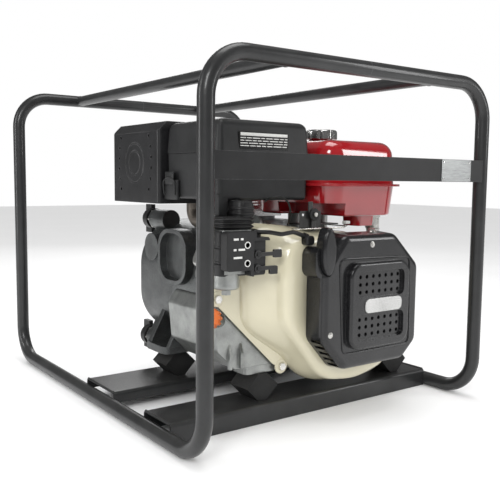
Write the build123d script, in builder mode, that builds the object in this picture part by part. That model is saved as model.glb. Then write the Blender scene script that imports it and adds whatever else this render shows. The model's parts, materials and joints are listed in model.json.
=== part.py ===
from build123d import *
import os
from math import cos, radians, sin

# Portable fire pump: tube frame, air-cooled engine and a close-coupled pump.
# Millimetres, +Z up, origin on the ground under the middle of the frame.
# X runs across the machine, Y along the crankshaft; the starter faces -Y.

# ---------------------------------------------------------------- dimensions
FRAME_X = 600.0        # tube centre to tube centre, across
FRAME_Y = 760.0        # along the crankshaft
FRAME_Z = 570.0        # bottom tubes to top tubes
TUBE_R = 12.5
TUBE_WALL = 2.0
BEND_R = 65.0
HALF_X = FRAME_X / 2
HALF_Y = FRAME_Y / 2
LOW_Z = TUBE_R
TOP_Z = LOW_Z + FRAME_Z

RAIL_X = 159.0         # top rails, each side of the middle
RAIL_R = 11.0

BAR_Z = 427.0          # middle of the flat guard bar
BAR_HIGH = 39.0
BAR_THICK = 4.0
BAR_Y = -HALF_Y - 10.0  # its front face

CHANNEL_TOP = 32.5
CHANNEL_WALL = 3.0
CHANNEL_OUT = 6.0      # outer bend radius
CHANNEL_END = HALF_X - 8.0
FRONT_CHANNEL = (-272.0, -184.0)
REAR_CHANNEL = (-71.0, 44.0)

CRANK_X = 62.0
CRANK_Z = 200.0
TILT = 25.0            # cylinder above the horizontal
STROKE = 64.0
BORE_R = 44.0
FOOT_Z = 80.0          # underside of the engine and pump feet
FOOT_THICK = 14.0

CASE_FRONT = -250.0    # crankcase along Y
CASE_BACK = -112.0
PTO_FACE = -100.0      # where the pump bolts on
SHAFT_R = 17.5
SHAFT_RUN = 0.03       # running clearance in the bearings
BEARING_R = 36.0
BEARING_LONG = 17.0

SHROUD_FRONT = -312.0
SHROUD_SHOULDER = -258.0
SHROUD_BACK = -250.0
SHEET = 2.0

TANK_LOW = 345.0       # underside of the fuel tank

PUMP_LEFT = -150.0
PUMP_RIGHT = 230.0
PUMP_LOW = 94.0
PUMP_TOP = 325.0
PUMP_CORNER = 70.0
PUMP_BACK = 85.0
WET_FRONT = -20.0      # front wall of the water chamber
PORT_R = 44.0          # outside of both hose threads
PORT_BORE = 36.0
DISCHARGE_X = 76.0
DISCHARGE_Y = 30.0

BOLT_R = 5.0
BOLT_HOLE = 5.5
MOUNTS = [(-102.0, -228.0), (223.0, -228.0), (-137.0, -14.0), (217.0, -14.0)]
GAP = 0.3              # between bodies that pass each other

os.makedirs("parts", exist_ok=True)


# ------------------------------------------------------------------- helpers
def save(builder, name):
    """Label a finished piece and write it as one STEP file."""
    builder.part.label = name
    export_step(builder.part, f"parts/{name}.step")


def facing(y):
    """Upright plane at this Y: sketch x is X, sketch y is Z; extrude(-d) goes back."""
    return Plane.XZ.offset(-y)


def along_x(x):
    """Upright plane at this X: sketch x is Y, sketch y is Z; extrude(d) goes +X."""
    return Plane.YZ.offset(x)


def on_cylinder(distance):
    """Plane square to the cylinder axis, at this distance from the crank axis."""
    direction = Vector(-cos(radians(TILT)), 0, sin(radians(TILT)))
    middle = Vector(CRANK_X, (CASE_FRONT + CASE_BACK) / 2, CRANK_Z) + direction * distance
    return Plane(origin=middle, x_dir=(0, 1, 0), z_dir=direction)


def cut_frame_tubes():
    """Shape a piece that is welded to the two bottom tubes."""
    with Locations((-HALF_X, 0, LOW_Z), (HALF_X, 0, LOW_Z)):
        Cylinder(TUBE_R, FRAME_Y, rotation=(90, 0, 0), mode=Mode.SUBTRACT)


def mount_holes(radius, spots, low, high):
    """Upright bolt holes at the given feet."""
    with BuildSketch(Plane.XY.offset(low)) as holes:
        with Locations(*spots):
            Circle(radius)
    extrude(holes.sketch, amount=high - low, mode=Mode.SUBTRACT)


# --------------------------------------------------------------------- frame
def make_hoop(side):
    """Half of the bent frame tube: side -1 is left, +1 is right."""
    corners = [
        (0, -HALF_Y, TOP_Z),
        (side * HALF_X, -HALF_Y, TOP_Z),
        (side * HALF_X, -HALF_Y, LOW_Z),
        (side * HALF_X, HALF_Y, LOW_Z),
        (side * HALF_X, HALF_Y, TOP_Z),
        (0, HALF_Y, TOP_Z),
    ]
    with BuildPart() as hoop:
        with BuildLine():
            FilletPolyline(*corners, radius=BEND_R)
        with BuildSketch(Plane(origin=corners[0], x_dir=(0, 1, 0), z_dir=(side, 0, 0))):
            Circle(TUBE_R)
            Circle(TUBE_R - TUBE_WALL, mode=Mode.SUBTRACT)
        sweep()
    return hoop


save(make_hoop(-1), "left_hoop")
save(make_hoop(1), "right_hoop")

with BuildPart() as cross_rails:
    with BuildSketch(facing(-HALF_Y)):
        with Locations((-RAIL_X, TOP_Z), (RAIL_X, TOP_Z)):
            Circle(RAIL_R)
            Circle(RAIL_R - TUBE_WALL, mode=Mode.SUBTRACT)
    extrude(amount=-FRAME_Y)
    with Locations((0, -HALF_Y, TOP_Z), (0, HALF_Y, TOP_Z)):
        Cylinder(TUBE_R, FRAME_X, rotation=(0, 90, 0), mode=Mode.SUBTRACT)
save(cross_rails, "cross_rails")

with BuildPart() as guard_bar:
    with BuildSketch(facing(BAR_Y)):
        with Locations((0, BAR_Z)):
            Rectangle(FRAME_X, BAR_HIGH)
    extrude(amount=-BAR_THICK)
    with Locations((-HALF_X, -HALF_Y, BAR_Z), (HALF_X, -HALF_Y, BAR_Z)):
        Cylinder(TUBE_R, BAR_HIGH * 2, mode=Mode.SUBTRACT)
save(guard_bar, "guard_bar")

PLATE_X = 217.0
PLATE_WIDE = 80.0
PLATE_THICK = 1.0
RIVET_R = 2.2
with BuildPart() as rating_plate:
    with BuildSketch(facing(BAR_Y)):
        with Locations((PLATE_X, BAR_Z)):
            RectangleRounded(PLATE_WIDE, BAR_HIGH - 1, 2)
    extrude(amount=PLATE_THICK)
save(rating_plate, "rating_plate")

with BuildPart() as plate_rivets:
    with BuildSketch(facing(BAR_Y - PLATE_THICK)):
        with Locations((PLATE_X, BAR_Z)):
            with GridLocations(PLATE_WIDE - 9, BAR_HIGH - 10, 2, 2):
                Circle(RIVET_R)
    extrude(amount=1.2)
    chamfer(plate_rivets.faces().sort_by(Axis.Y)[:4].edges(), 0.5)
save(plate_rivets, "plate_rivets")


def make_channel(span, low, feet):
    """Upside-down U channel from tube to tube, with its bolt holes."""
    deep = span[1] - span[0]
    high = CHANNEL_TOP - low
    with BuildPart() as channel:
        with BuildSketch(along_x(-CHANNEL_END)) as profile:
            with Locations(((span[0] + span[1]) / 2, low + high / 2)):
                Rectangle(deep, high)
            fillet(profile.vertices().group_by(Axis.Y)[-1], CHANNEL_OUT)
            with Locations(((span[0] + span[1]) / 2, low + (high - CHANNEL_WALL) / 2)):
                Rectangle(deep - 2 * CHANNEL_WALL, high - CHANNEL_WALL, mode=Mode.SUBTRACT)
        extrude(amount=2 * CHANNEL_END)
        cut_frame_tubes()
        mount_holes(BOLT_HOLE, feet, CHANNEL_TOP - 2 * CHANNEL_WALL, CHANNEL_TOP + 1)
    return channel


save(make_channel(FRONT_CHANNEL, 0.0, MOUNTS[:2]), "front_channel")
save(make_channel(REAR_CHANNEL, LOW_Z, MOUNTS[2:]), "rear_channel")

# ----------------------------------------------------- mounts and their bolts
BLOCK = 46.0
BLOCK_LONG = 52.0
with BuildPart() as rubber_mounts:
    for foot_x, foot_y in MOUNTS:
        with BuildSketch(facing(foot_y - BLOCK_LONG / 2)):
            with Locations((foot_x, (CHANNEL_TOP + FOOT_Z) / 2)):
                Rectangle(BLOCK, BLOCK, rotation=45)
        extrude(amount=-BLOCK_LONG)
    with BuildSketch(Plane.XY.offset(FOOT_Z)):
        Rectangle(FRAME_X, FRAME_Y)
    extrude(amount=BLOCK, mode=Mode.SUBTRACT)
    with BuildSketch(Plane.XY.offset(CHANNEL_TOP)):
        Rectangle(FRAME_X, FRAME_Y)
    extrude(amount=-BLOCK, mode=Mode.SUBTRACT)
    mount_holes(BOLT_HOLE, MOUNTS, CHANNEL_TOP - 1, FOOT_Z + 1)
save(rubber_mounts, "rubber_mounts")

NUT_HIGH = 6.0
HEAD_R = 9.5
with BuildPart() as mount_bolts:
    with BuildSketch(Plane.XY.offset(CHANNEL_TOP - CHANNEL_WALL - NUT_HIGH)):
        with Locations(*MOUNTS):
            Circle(BOLT_R)
    extrude(amount=FOOT_Z + FOOT_THICK - CHANNEL_TOP + CHANNEL_WALL + NUT_HIGH)
    with BuildSketch(Plane.XY.offset(CHANNEL_TOP - CHANNEL_WALL - NUT_HIGH)):
        with Locations(*MOUNTS):
            RegularPolygon(HEAD_R, 6)
    extrude(amount=NUT_HIGH)
    with BuildSketch(Plane.XY.offset(FOOT_Z + FOOT_THICK)):
        with Locations(*MOUNTS):
            RegularPolygon(HEAD_R, 6)
    extrude(amount=NUT_HIGH)
    chamfer(mount_bolts.faces().filter_by(Axis.Z).sort_by(Axis.Z)[-4:].edges(), 1.0)
save(mount_bolts, "mount_bolts")

# ----------------------------------------------------------------- crankcase
CASE_WALL = 8.0
BARREL_START = 84.0
BARREL_R = 56.0
CASE_OUTLINE = [
    (-158, 94), (222, 94), (200, 118), (176, 150), (176, 262), (140, 300), (20, 300),
    (-48, 284), (-40, 170), (-72, 168), (-182, 214), (-198, 190), (-192, 128),
]
CASE_HOLLOW = [
    (-150, 106), (150, 106), (166, 150), (166, 256), (132, 290), (20, 290),
    (-10, 250), (-20, 164), (-72, 157), (-176, 198), (-184, 136),
]
FILLER = Plane(origin=(-184, -238, 177), x_dir=(0, 1, 0), z_dir=(-0.75, -0.6, 0.3))
FILLER_LONG = 28.0
GOVERNOR_X = 46.0
GOVERNOR_Y = -238.0
GOVERNOR_FOOT = 297.0  # bottom of the governor shaft's bore
with BuildPart() as crankcase:
    with BuildSketch(facing(CASE_FRONT)) as outline:
        Polygon(*CASE_OUTLINE, align=None)
        fillet(outline.vertices(), 8)
    extrude(amount=CASE_FRONT - CASE_BACK)
    # Foot pads at the front and the sloping ribs above them.
    with BuildSketch(Plane.XY.offset(FOOT_Z)):
        with Locations(*MOUNTS[:2]):
            RectangleRounded(66, 42, 8)
        with Locations((CRANK_X, -200)):
            Rectangle(330, 60)
    extrude(amount=FOOT_THICK)
    for rib_x in (-172, -150):
        with BuildSketch(along_x(rib_x)):
            Polygon((-256, 96), (-249, 96), (-249, 140), (-256, 122), align=None)
        extrude(amount=5)
    # Oil filler neck on the cylinder side.
    with BuildSketch(FILLER):
        Circle(13)
    extrude(amount=FILLER_LONG)
    # Bearing boss of the governor shaft, on the top.
    with BuildSketch(Plane.XY.offset(292)):
        with Locations((GOVERNOR_X, GOVERNOR_Y)):
            Circle(8)
    extrude(amount=20)
    # Inside: the crank chamber, open to the power side.
    with BuildSketch(facing(CASE_FRONT + CASE_WALL + 4)) as chamber:
        Polygon(*CASE_HOLLOW, align=None)
        fillet(chamber.vertices(), 10)
    extrude(amount=CASE_FRONT - CASE_BACK, mode=Mode.SUBTRACT)
    # Bearing bore in the front wall, and the cylinder spigot bore.
    with BuildSketch(facing(CASE_FRONT - 1)):
        with Locations((CRANK_X, CRANK_Z)):
            Circle(BEARING_R)
    extrude(amount=-(CASE_WALL + 8), mode=Mode.SUBTRACT)
    with BuildSketch(on_cylinder(60)):
        Circle(BARREL_R - 6)
    extrude(amount=140, mode=Mode.SUBTRACT)
    with BuildSketch(on_cylinder(BARREL_START)):
        Circle(BARREL_R + 30)
    extrude(amount=140, mode=Mode.SUBTRACT)
    # Bosses that carry the fuel tank.
    with BuildSketch(Plane.XY.offset(296)):
        with Locations((56, -140), (126, -140)):
            Circle(12)
    extrude(amount=TANK_LOW - 296)
    with BuildSketch(Plane.XY.offset(GOVERNOR_FOOT)):
        with Locations((GOVERNOR_X, GOVERNOR_Y)):
            Circle(3.06)
    extrude(amount=20, mode=Mode.SUBTRACT)
    mount_holes(BOLT_HOLE, MOUNTS[:2], FOOT_Z - 1, FOOT_Z + FOOT_THICK + 1)
    # Clearance over the bolt heads.
    with BuildSketch(Plane.XY.offset(FOOT_Z + FOOT_THICK)):
        with Locations(*MOUNTS[:2]):
            Circle(HEAD_R + 3)
    extrude(amount=30, mode=Mode.SUBTRACT)
save(crankcase, "crankcase")

with BuildPart() as pto_cover:
    with BuildSketch(facing(CASE_BACK)) as outline:
        Polygon(*CASE_OUTLINE, align=None)
        fillet(outline.vertices(), 8)
        with Locations((CRANK_X, CRANK_Z)):
            Circle(BEARING_R, mode=Mode.SUBTRACT)
    extrude(amount=CASE_BACK - PTO_FACE)
save(pto_cover, "pto_cover")

with BuildPart() as main_bearings:
    for bearing_y in (CASE_FRONT + 12 - BEARING_LONG, PTO_FACE - BEARING_LONG):
        with BuildSketch(facing(bearing_y)):
            with Locations((CRANK_X, CRANK_Z)):
                Circle(BEARING_R)
                Circle(SHAFT_R + SHAFT_RUN, mode=Mode.SUBTRACT)
        extrude(amount=-BEARING_LONG)
save(main_bearings, "main_bearings")

# ------------------------------------------------------------ cylinder group
HEAD_START = 186.0
HEAD_THICK = 26.0
FIN_PITCH = 11.0
FIN_THICK = 2.5
with BuildPart() as cylinder:
    with BuildSketch(on_cylinder(62)):
        Circle(BARREL_R - 6.5)
    extrude(amount=BARREL_START - 62)
    with BuildSketch(on_cylinder(BARREL_START)):
        Circle(BARREL_R)
    extrude(amount=HEAD_START - BARREL_START)
    fin_at = BARREL_START + 6
    while fin_at < HEAD_START - FIN_THICK:
        with BuildSketch(on_cylinder(fin_at)):
            RectangleRounded(134, 128, 18)
        extrude(amount=FIN_THICK)
        fin_at += FIN_PITCH
    with BuildSketch(on_cylinder(50)):
        Circle(BORE_R)
    extrude(amount=HEAD_START - 50, mode=Mode.SUBTRACT)
save(cylinder, "cylinder")

with BuildPart() as cylinder_head:
    with BuildSketch(on_cylinder(HEAD_START)):
        RectangleRounded(134, 128, 18)
    extrude(amount=HEAD_THICK)
    for fin in range(2):
        with BuildSketch(on_cylinder(HEAD_START + 7 + fin * 8)):
            RectangleRounded(140, 134, 18)
            RectangleRounded(110, 104, 14, mode=Mode.SUBTRACT)
        extrude(amount=4, mode=Mode.SUBTRACT)
    with BuildSketch(on_cylinder(HEAD_START)):
        Circle(7)
    extrude(amount=HEAD_THICK, mode=Mode.SUBTRACT)
save(cylinder_head, "cylinder_head")

with BuildPart() as rocker_cover:
    with BuildSketch(on_cylinder(HEAD_START + HEAD_THICK)):
        RectangleRounded(112, 92, 16)
    extrude(amount=24)
    fillet(rocker_cover.faces().sort_by(Axis.X)[0].edges(), 7)
    with BuildSketch(on_cylinder(HEAD_START + HEAD_THICK)):
        RectangleRounded(104, 84, 12)
    extrude(amount=19, mode=Mode.SUBTRACT)
save(rocker_cover, "rocker_cover")

# The piston rests at the bottom of its stroke.
PISTON_LOW = 60.0
PISTON_LONG = 52.0
with BuildPart() as piston:
    with BuildSketch(on_cylinder(PISTON_LOW)):
        Circle(BORE_R - 0.06)
    extrude(amount=PISTON_LONG)
    with BuildSketch(on_cylinder(PISTON_LOW)):
        Circle(BORE_R - 6)
    extrude(amount=PISTON_LONG - 9, mode=Mode.SUBTRACT)
    for ring_at in (34, 40, 46):
        with BuildSketch(on_cylinder(PISTON_LOW + ring_at)):
            Circle(BORE_R + 1)
            Circle(BORE_R - 1.5, mode=Mode.SUBTRACT)
        extrude(amount=1.5, mode=Mode.SUBTRACT)
save(piston, "piston")

# ------------------------------------------------------- crankshaft, flywheel
WEB_R = 46.0
WEB_THICK = 16.0
PIN_R = 16.0
CRANK_MIDDLE = (CASE_FRONT + CASE_BACK) / 2
SHAFT_FRONT = -320.0
SHAFT_END = 24.0
SPINDLE_R = 12.7
PIN_X = CRANK_X + STROKE / 2 * cos(radians(TILT))
PIN_Z = CRANK_Z - STROKE / 2 * sin(radians(TILT))
with BuildPart() as crankshaft:
    for start, end, radius in (
        (SHAFT_FRONT, -262, SPINDLE_R),
        (-262, CRANK_MIDDLE - 32, SHAFT_R),
        (CRANK_MIDDLE + 32, PTO_FACE + 8, SHAFT_R),
        (PTO_FACE + 8, SHAFT_END, SPINDLE_R),
    ):
        with BuildSketch(facing(start)):
            with Locations((CRANK_X, CRANK_Z)):
                Circle(radius)
        extrude(amount=start - end)
    for web_y in (CRANK_MIDDLE - 32, CRANK_MIDDLE + 32 - WEB_THICK):
        with BuildSketch(facing(web_y)):
            with Locations((CRANK_X, CRANK_Z)):
                Circle(WEB_R)
        extrude(amount=-WEB_THICK)
    with BuildSketch(facing(CRANK_MIDDLE - 20)):
        with Locations((PIN_X, PIN_Z)):
            Circle(PIN_R)
    extrude(amount=-40)
save(crankshaft, "crankshaft")

WHEEL_R = 98.0
BLADES = 16
with BuildPart() as flywheel:
    with BuildSketch(facing(-284)):
        with Locations((CRANK_X, CRANK_Z)):
            Circle(WHEEL_R)
    extrude(amount=-18)
    with BuildSketch(facing(-303)):
        with Locations((CRANK_X, CRANK_Z)):
            with PolarLocations(72, BLADES):
                Rectangle(44, 3.5, rotation=24)
    extrude(amount=-19)
    with BuildSketch(facing(-308)):
        with Locations((CRANK_X, CRANK_Z)):
            Circle(30)
    extrude(amount=-42)
    with BuildSketch(facing(-308)):
        with Locations((CRANK_X, CRANK_Z)):
            Circle(SPINDLE_R)
    extrude(amount=-42, mode=Mode.SUBTRACT)
save(flywheel, "flywheel")

# --------------------------------------------------------------- fan shroud
SHROUD_OUTLINE = [
    (-154, 168), (-154, 262), (-140, 340), (5, 322), (84, 316), (165, 268), (208, 200),
    (196, 120), (140, 64), (62, 47), (-10, 56), (-42, 76), (-62, 104),
]
SHROUD_FACE = [
    (-104, 176), (-104, 262), (-92, 314), (5, 313), (82, 306), (156, 262), (198, 200),
    (187, 126), (134, 73), (62, 56), (-4, 65), (-28, 80), (-46, 104),
]
SHROUD_WING = [(-50, 80), (-84, 94), (-205, 212), (-205, 266), (-140, 340), (-60, 331)]
RECOIL_MOUTH = 104.0
SHROUD_EARS = [(-199.0, 217.0), (-66.0, 88.0)]
INTAKE_X = -178.0
INTAKE_Z = 300.0
INTAKE_R = 20.0


def shroud_stack(inset):
    """The shroud's outer or inner form: a tapered front, a short skirt and a flat wing."""
    with BuildPart() as form:
        with BuildSketch(facing(SHROUD_FRONT + inset)):
            Polygon(*SHROUD_FACE, align=None)
            offset(amount=-inset - 0.01, kind=Kind.INTERSECTION)
        with BuildSketch(facing(SHROUD_SHOULDER + inset)):
            Polygon(*SHROUD_OUTLINE, align=None)
            offset(amount=-inset - 0.01, kind=Kind.INTERSECTION)
        loft(ruled=True)
        with BuildSketch(facing(SHROUD_SHOULDER + inset)):
            Polygon(*SHROUD_OUTLINE, align=None)
            Polygon(*SHROUD_WING, align=None)
            offset(amount=-inset - 0.01, kind=Kind.INTERSECTION)
        extrude(amount=SHROUD_SHOULDER - SHROUD_BACK)
    return form.part


shroud_outer = shroud_stack(0.0)
shroud_inner = shroud_stack(SHEET)
with BuildPart() as fan_shroud:
    add(shroud_outer)
    add(shroud_inner, mode=Mode.SUBTRACT)
    with BuildSketch(facing(SHROUD_FRONT - 1)):
        with Locations((CRANK_X, CRANK_Z)):
            Circle(RECOIL_MOUTH)
    extrude(amount=-10, mode=Mode.SUBTRACT)
    with BuildSketch(facing(SHROUD_BACK - 6)):
        with Locations(*SHROUD_EARS):
            Circle(13)
    extrude(amount=-6)
    with BuildSketch(facing(SHROUD_SHOULDER - 8)):
        with Locations(*SHROUD_EARS):
            Circle(3.5)
        with Locations((INTAKE_X - 4, INTAKE_Z + 12)):
            Rectangle(60, 76)
    extrude(amount=-20, mode=Mode.SUBTRACT)
save(fan_shroud, "fan_shroud")

# ------------------------------------------------------------ recoil starter
RECOIL_OUTLINE = [
    (-58, 146), (-58, 258), (-10, 320), (112, 320), (174, 262), (174, 122), (138, 90), (-8, 90),
]
RECOIL_FACE = -352.0
RECOIL_WALL = 3.0
RECOIL_CORNER = 24.0
RECOIL_TAPER = 4.0
GRILLE_X = 65.0
GRILLE_Z = 199.0
GRILLE_WIDE = 142.0
GRILLE_HIGH = 146.0
GRILLE_FRONT = -364.0
GRIP_X = -46.0
GRIP_Z = 293.0
GRIP_BACK = -333.0
with BuildPart() as recoil_cover:
    with BuildSketch(facing(SHROUD_FRONT)) as outline:
        Polygon(*RECOIL_OUTLINE, align=None)
        fillet(outline.vertices(), RECOIL_CORNER)
    extrude(amount=SHROUD_FRONT - RECOIL_FACE, taper=RECOIL_TAPER)
    fillet(recoil_cover.faces().sort_by(Axis.Y)[0].edges(), 11)
    # Raised frame round the two air inlet fields.
    with BuildSketch(facing(RECOIL_FACE)):
        with Locations((GRILLE_X, GRILLE_Z)):
            RectangleRounded(GRILLE_WIDE, GRILLE_HIGH, 24)
    extrude(amount=RECOIL_FACE - GRILLE_FRONT)
    fillet(recoil_cover.faces().sort_by(Axis.Y)[0].edges(), 5)
    with BuildSketch(facing(GRILLE_FRONT)):
        with Locations((GRILLE_X, GRILLE_Z + 36), (GRILLE_X, GRILLE_Z - 36)):
            RectangleRounded(112, 44, 10)
    extrude(amount=-6, mode=Mode.SUBTRACT)
    # Cup that holds the grip, on the upper left corner.
    with BuildSketch(facing(SHROUD_FRONT)):
        with Locations((GRIP_X, GRIP_Z - 18)):
            RectangleRounded(46, 52, 16)
    extrude(amount=34)
    # Inside of the bowl, in two steps that follow its rounded front.
    for inset, depth in ((RECOIL_WALL + 2.5, 32), (13, SHROUD_FRONT - RECOIL_FACE - RECOIL_WALL)):
        with BuildSketch(facing(SHROUD_FRONT)) as inner:
            Polygon(*RECOIL_OUTLINE, align=None)
            fillet(inner.vertices(), RECOIL_CORNER)
            offset(amount=-inset)
            with Locations((GRIP_X, GRIP_Z - 18)):
                RectangleRounded(50, 56, 18, mode=Mode.SUBTRACT)
        extrude(amount=depth, mode=Mode.SUBTRACT)
    with BuildSketch(facing(GRIP_BACK + GAP)):
        with Locations((GRIP_X, GRIP_Z)):
            Ellipse(15.5, 40.5)
    extrude(amount=30, mode=Mode.SUBTRACT)
    # Air holes in the fields, and louvres low on the left.
    with BuildSketch(facing(GRILLE_FRONT)):
        with Locations((GRILLE_X, GRILLE_Z + 36), (GRILLE_X, GRILLE_Z - 36)):
            with GridLocations(15, 13, 7, 3):
                Circle(3.2)
    extrude(amount=-20, mode=Mode.SUBTRACT)
    for slot in range(5):
        with Locations((-2 - 9.6 * slot, -331, 99 + 11 * slot)):
            Box(60, 22, 5, mode=Mode.SUBTRACT)
    # Post that the reel turns on, and the rope hole behind the grip.
    with BuildSketch(facing(RECOIL_FACE + RECOIL_WALL)):
        with Locations((CRANK_X, CRANK_Z)):
            Circle(9)
    extrude(amount=-24)
    with BuildSketch(facing(SHROUD_FRONT)):
        with Locations((GRIP_X, GRIP_Z - 10)):
            Circle(4)
    extrude(amount=30, mode=Mode.SUBTRACT)
save(recoil_cover, "recoil_cover")

with BuildPart() as badge:
    with BuildSketch(facing(GRILLE_FRONT)):
        with Locations((GRILLE_X + 5, GRILLE_Z)):
            RectangleRounded(88, 24, 9)
    extrude(amount=1.6)
    chamfer(badge.faces().sort_by(Axis.Y)[0].edges(), 0.5)
save(badge, "badge")

REEL_R = 45.0
with BuildPart() as starter_reel:
    for start, end, radius in ((-348, -345, 56), (-345, -336, REEL_R), (-336, -333, 56)):
        with BuildSketch(facing(start)):
            with Locations((CRANK_X, CRANK_Z)):
                Circle(radius)
                Circle(9.05, mode=Mode.SUBTRACT)
        extrude(amount=start - end)
save(starter_reel, "starter_reel")

with BuildPart() as starter_grip:
    with BuildSketch(facing(GRIP_BACK)):
        with Locations((GRIP_X, GRIP_Z)):
            Ellipse(14, 39)
    extrude(amount=24)
    fillet(starter_grip.edges().filter_by(GeomType.ELLIPSE), 5)
    with BuildSketch(facing(GRIP_BACK + 1)):
        with Locations((GRIP_X, GRIP_Z - 10)):
            Circle(2.5)
    extrude(amount=12, mode=Mode.SUBTRACT)
save(starter_grip, "starter_grip")

# ----------------------------------------------------------------- fuel tank
TANK_X = (0.0, 184.0)
TANK_Y = (-295.0, -75.0)
TANK_SEAM = 400.0
TANK_TOP = 478.0
TANK_SKIN = 1.5
SUMP = (112.0, -256.0)
CAP_X = 84.0
CAP_Y = -180.0
NECK_R = 22.0


def tank_middle():
    """Centre of the tank in plan."""
    return ((TANK_X[0] + TANK_X[1]) / 2, (TANK_Y[0] + TANK_Y[1]) / 2)


with BuildPart() as tank_top:
    with BuildSketch(Plane.XY.offset(TANK_SEAM)):
        with Locations(tank_middle()):
            RectangleRounded(TANK_X[1] - TANK_X[0], TANK_Y[1] - TANK_Y[0], 38)
    extrude(amount=TANK_TOP - TANK_SEAM, taper=4)
    fillet(tank_top.faces().sort_by(Axis.Z)[-1].edges(), 26)
    offset(amount=-TANK_SKIN, openings=tank_top.faces().sort_by(Axis.Z)[0])
    with BuildSketch(Plane.XY.offset(TANK_SEAM)):
        with Locations(tank_middle()):
            RectangleRounded(TANK_X[1] - TANK_X[0] + 22, TANK_Y[1] - TANK_Y[0] + 22, 48)
            RectangleRounded(TANK_X[1] - TANK_X[0] - 3, TANK_Y[1] - TANK_Y[0] - 3, 37,
                             mode=Mode.SUBTRACT)
    extrude(amount=2)
    with BuildSketch(Plane.XY.offset(TANK_TOP - 14)):
        with Locations((CAP_X, CAP_Y)):
            Circle(NECK_R)
    extrude(amount=20)
    with BuildSketch(Plane.XY.offset(TANK_TOP - 14)):
        with Locations((CAP_X, CAP_Y)):
            Circle(NECK_R - 2)
    extrude(amount=20, mode=Mode.SUBTRACT)
save(tank_top, "tank_top")

def lower_tank(inset):
    """Lower half of the tank, stepped up at the left front, or its inside."""
    with BuildPart() as half:
        with BuildSketch(Plane.XY.offset(TANK_SEAM)):
            with Locations(tank_middle()):
                wide = TANK_X[1] - TANK_X[0] - 2 * inset
                deep = TANK_Y[1] - TANK_Y[0] - 2 * inset
                RectangleRounded(wide, deep, 38 - inset)
        extrude(amount=TANK_LOW + inset - TANK_SEAM, taper=7)
        with Locations((TANK_X[0] + 10, TANK_Y[0] + 60, TANK_LOW - 2)):
            Box(72 + 2 * inset, 160 + 2 * inset, 50 + 2 * inset, mode=Mode.SUBTRACT)
    return half.part


lower_outer = lower_tank(0.0)
lower_inner = lower_tank(TANK_SKIN)
with BuildPart() as tank_bottom:
    add(lower_outer)
    fillet(tank_bottom.faces().sort_by(Axis.Z)[0].edges(), 4)
    add(lower_inner, mode=Mode.SUBTRACT)
    with BuildSketch(Plane.XY.offset(TANK_LOW + TANK_SKIN)):
        with Locations(SUMP):
            RectangleRounded(50, 44, 12)
    extrude(amount=-20, taper=6)
    with BuildSketch(Plane.XY.offset(TANK_LOW + TANK_SKIN + 1)):
        with Locations(SUMP):
            RectangleRounded(46, 40, 10)
    extrude(amount=-19, taper=6, mode=Mode.SUBTRACT)
    with BuildSketch(Plane.XY.offset(TANK_SEAM)):
        with Locations(tank_middle()):
            RectangleRounded(TANK_X[1] - TANK_X[0] + 22, TANK_Y[1] - TANK_Y[0] + 22, 48)
            RectangleRounded(TANK_X[1] - TANK_X[0] - 3, TANK_Y[1] - TANK_Y[0] - 3, 37,
                             mode=Mode.SUBTRACT)
    extrude(amount=-2)
save(tank_bottom, "tank_bottom")

with BuildPart() as fuel_cap:
    with BuildSketch(Plane.XY.offset(TANK_TOP + 6.3)):
        with Locations((CAP_X, CAP_Y)):
            Circle(31)
    extrude(amount=17)
    fillet(fuel_cap.faces().sort_by(Axis.Z)[-1].edges(), 5)
    with BuildSketch(Plane.XY.offset(TANK_TOP + 6.3)):
        with Locations((CAP_X, CAP_Y)):
            with PolarLocations(32.5, 8):
                Circle(5)
    extrude(amount=17, mode=Mode.SUBTRACT)
    with BuildSketch(Plane.XY.offset(TANK_TOP + 6.3)):
        with Locations((CAP_X, CAP_Y)):
            Circle(NECK_R - 2.3)
    extrude(amount=-12)
save(fuel_cap, "fuel_cap")

OUTLET_X = 155.0
OUTLET_Y = -250.0
with BuildPart() as fuel_outlet:
    with BuildSketch(Plane.XY.offset(TANK_LOW)):
        with Locations((OUTLET_X, OUTLET_Y)):
            Circle(15)
    extrude(amount=-5)
    with BuildSketch(Plane.XY.offset(TANK_LOW - 5)):
        with Locations((OUTLET_X, OUTLET_Y)):
            Circle(13)
    extrude(amount=-20)
    with BuildSketch(facing(OUTLET_Y)):
        with Locations((OUTLET_X, TANK_LOW - 18)):
            Circle(3)
    extrude(amount=-26)
save(fuel_outlet, "fuel_outlet")

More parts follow.
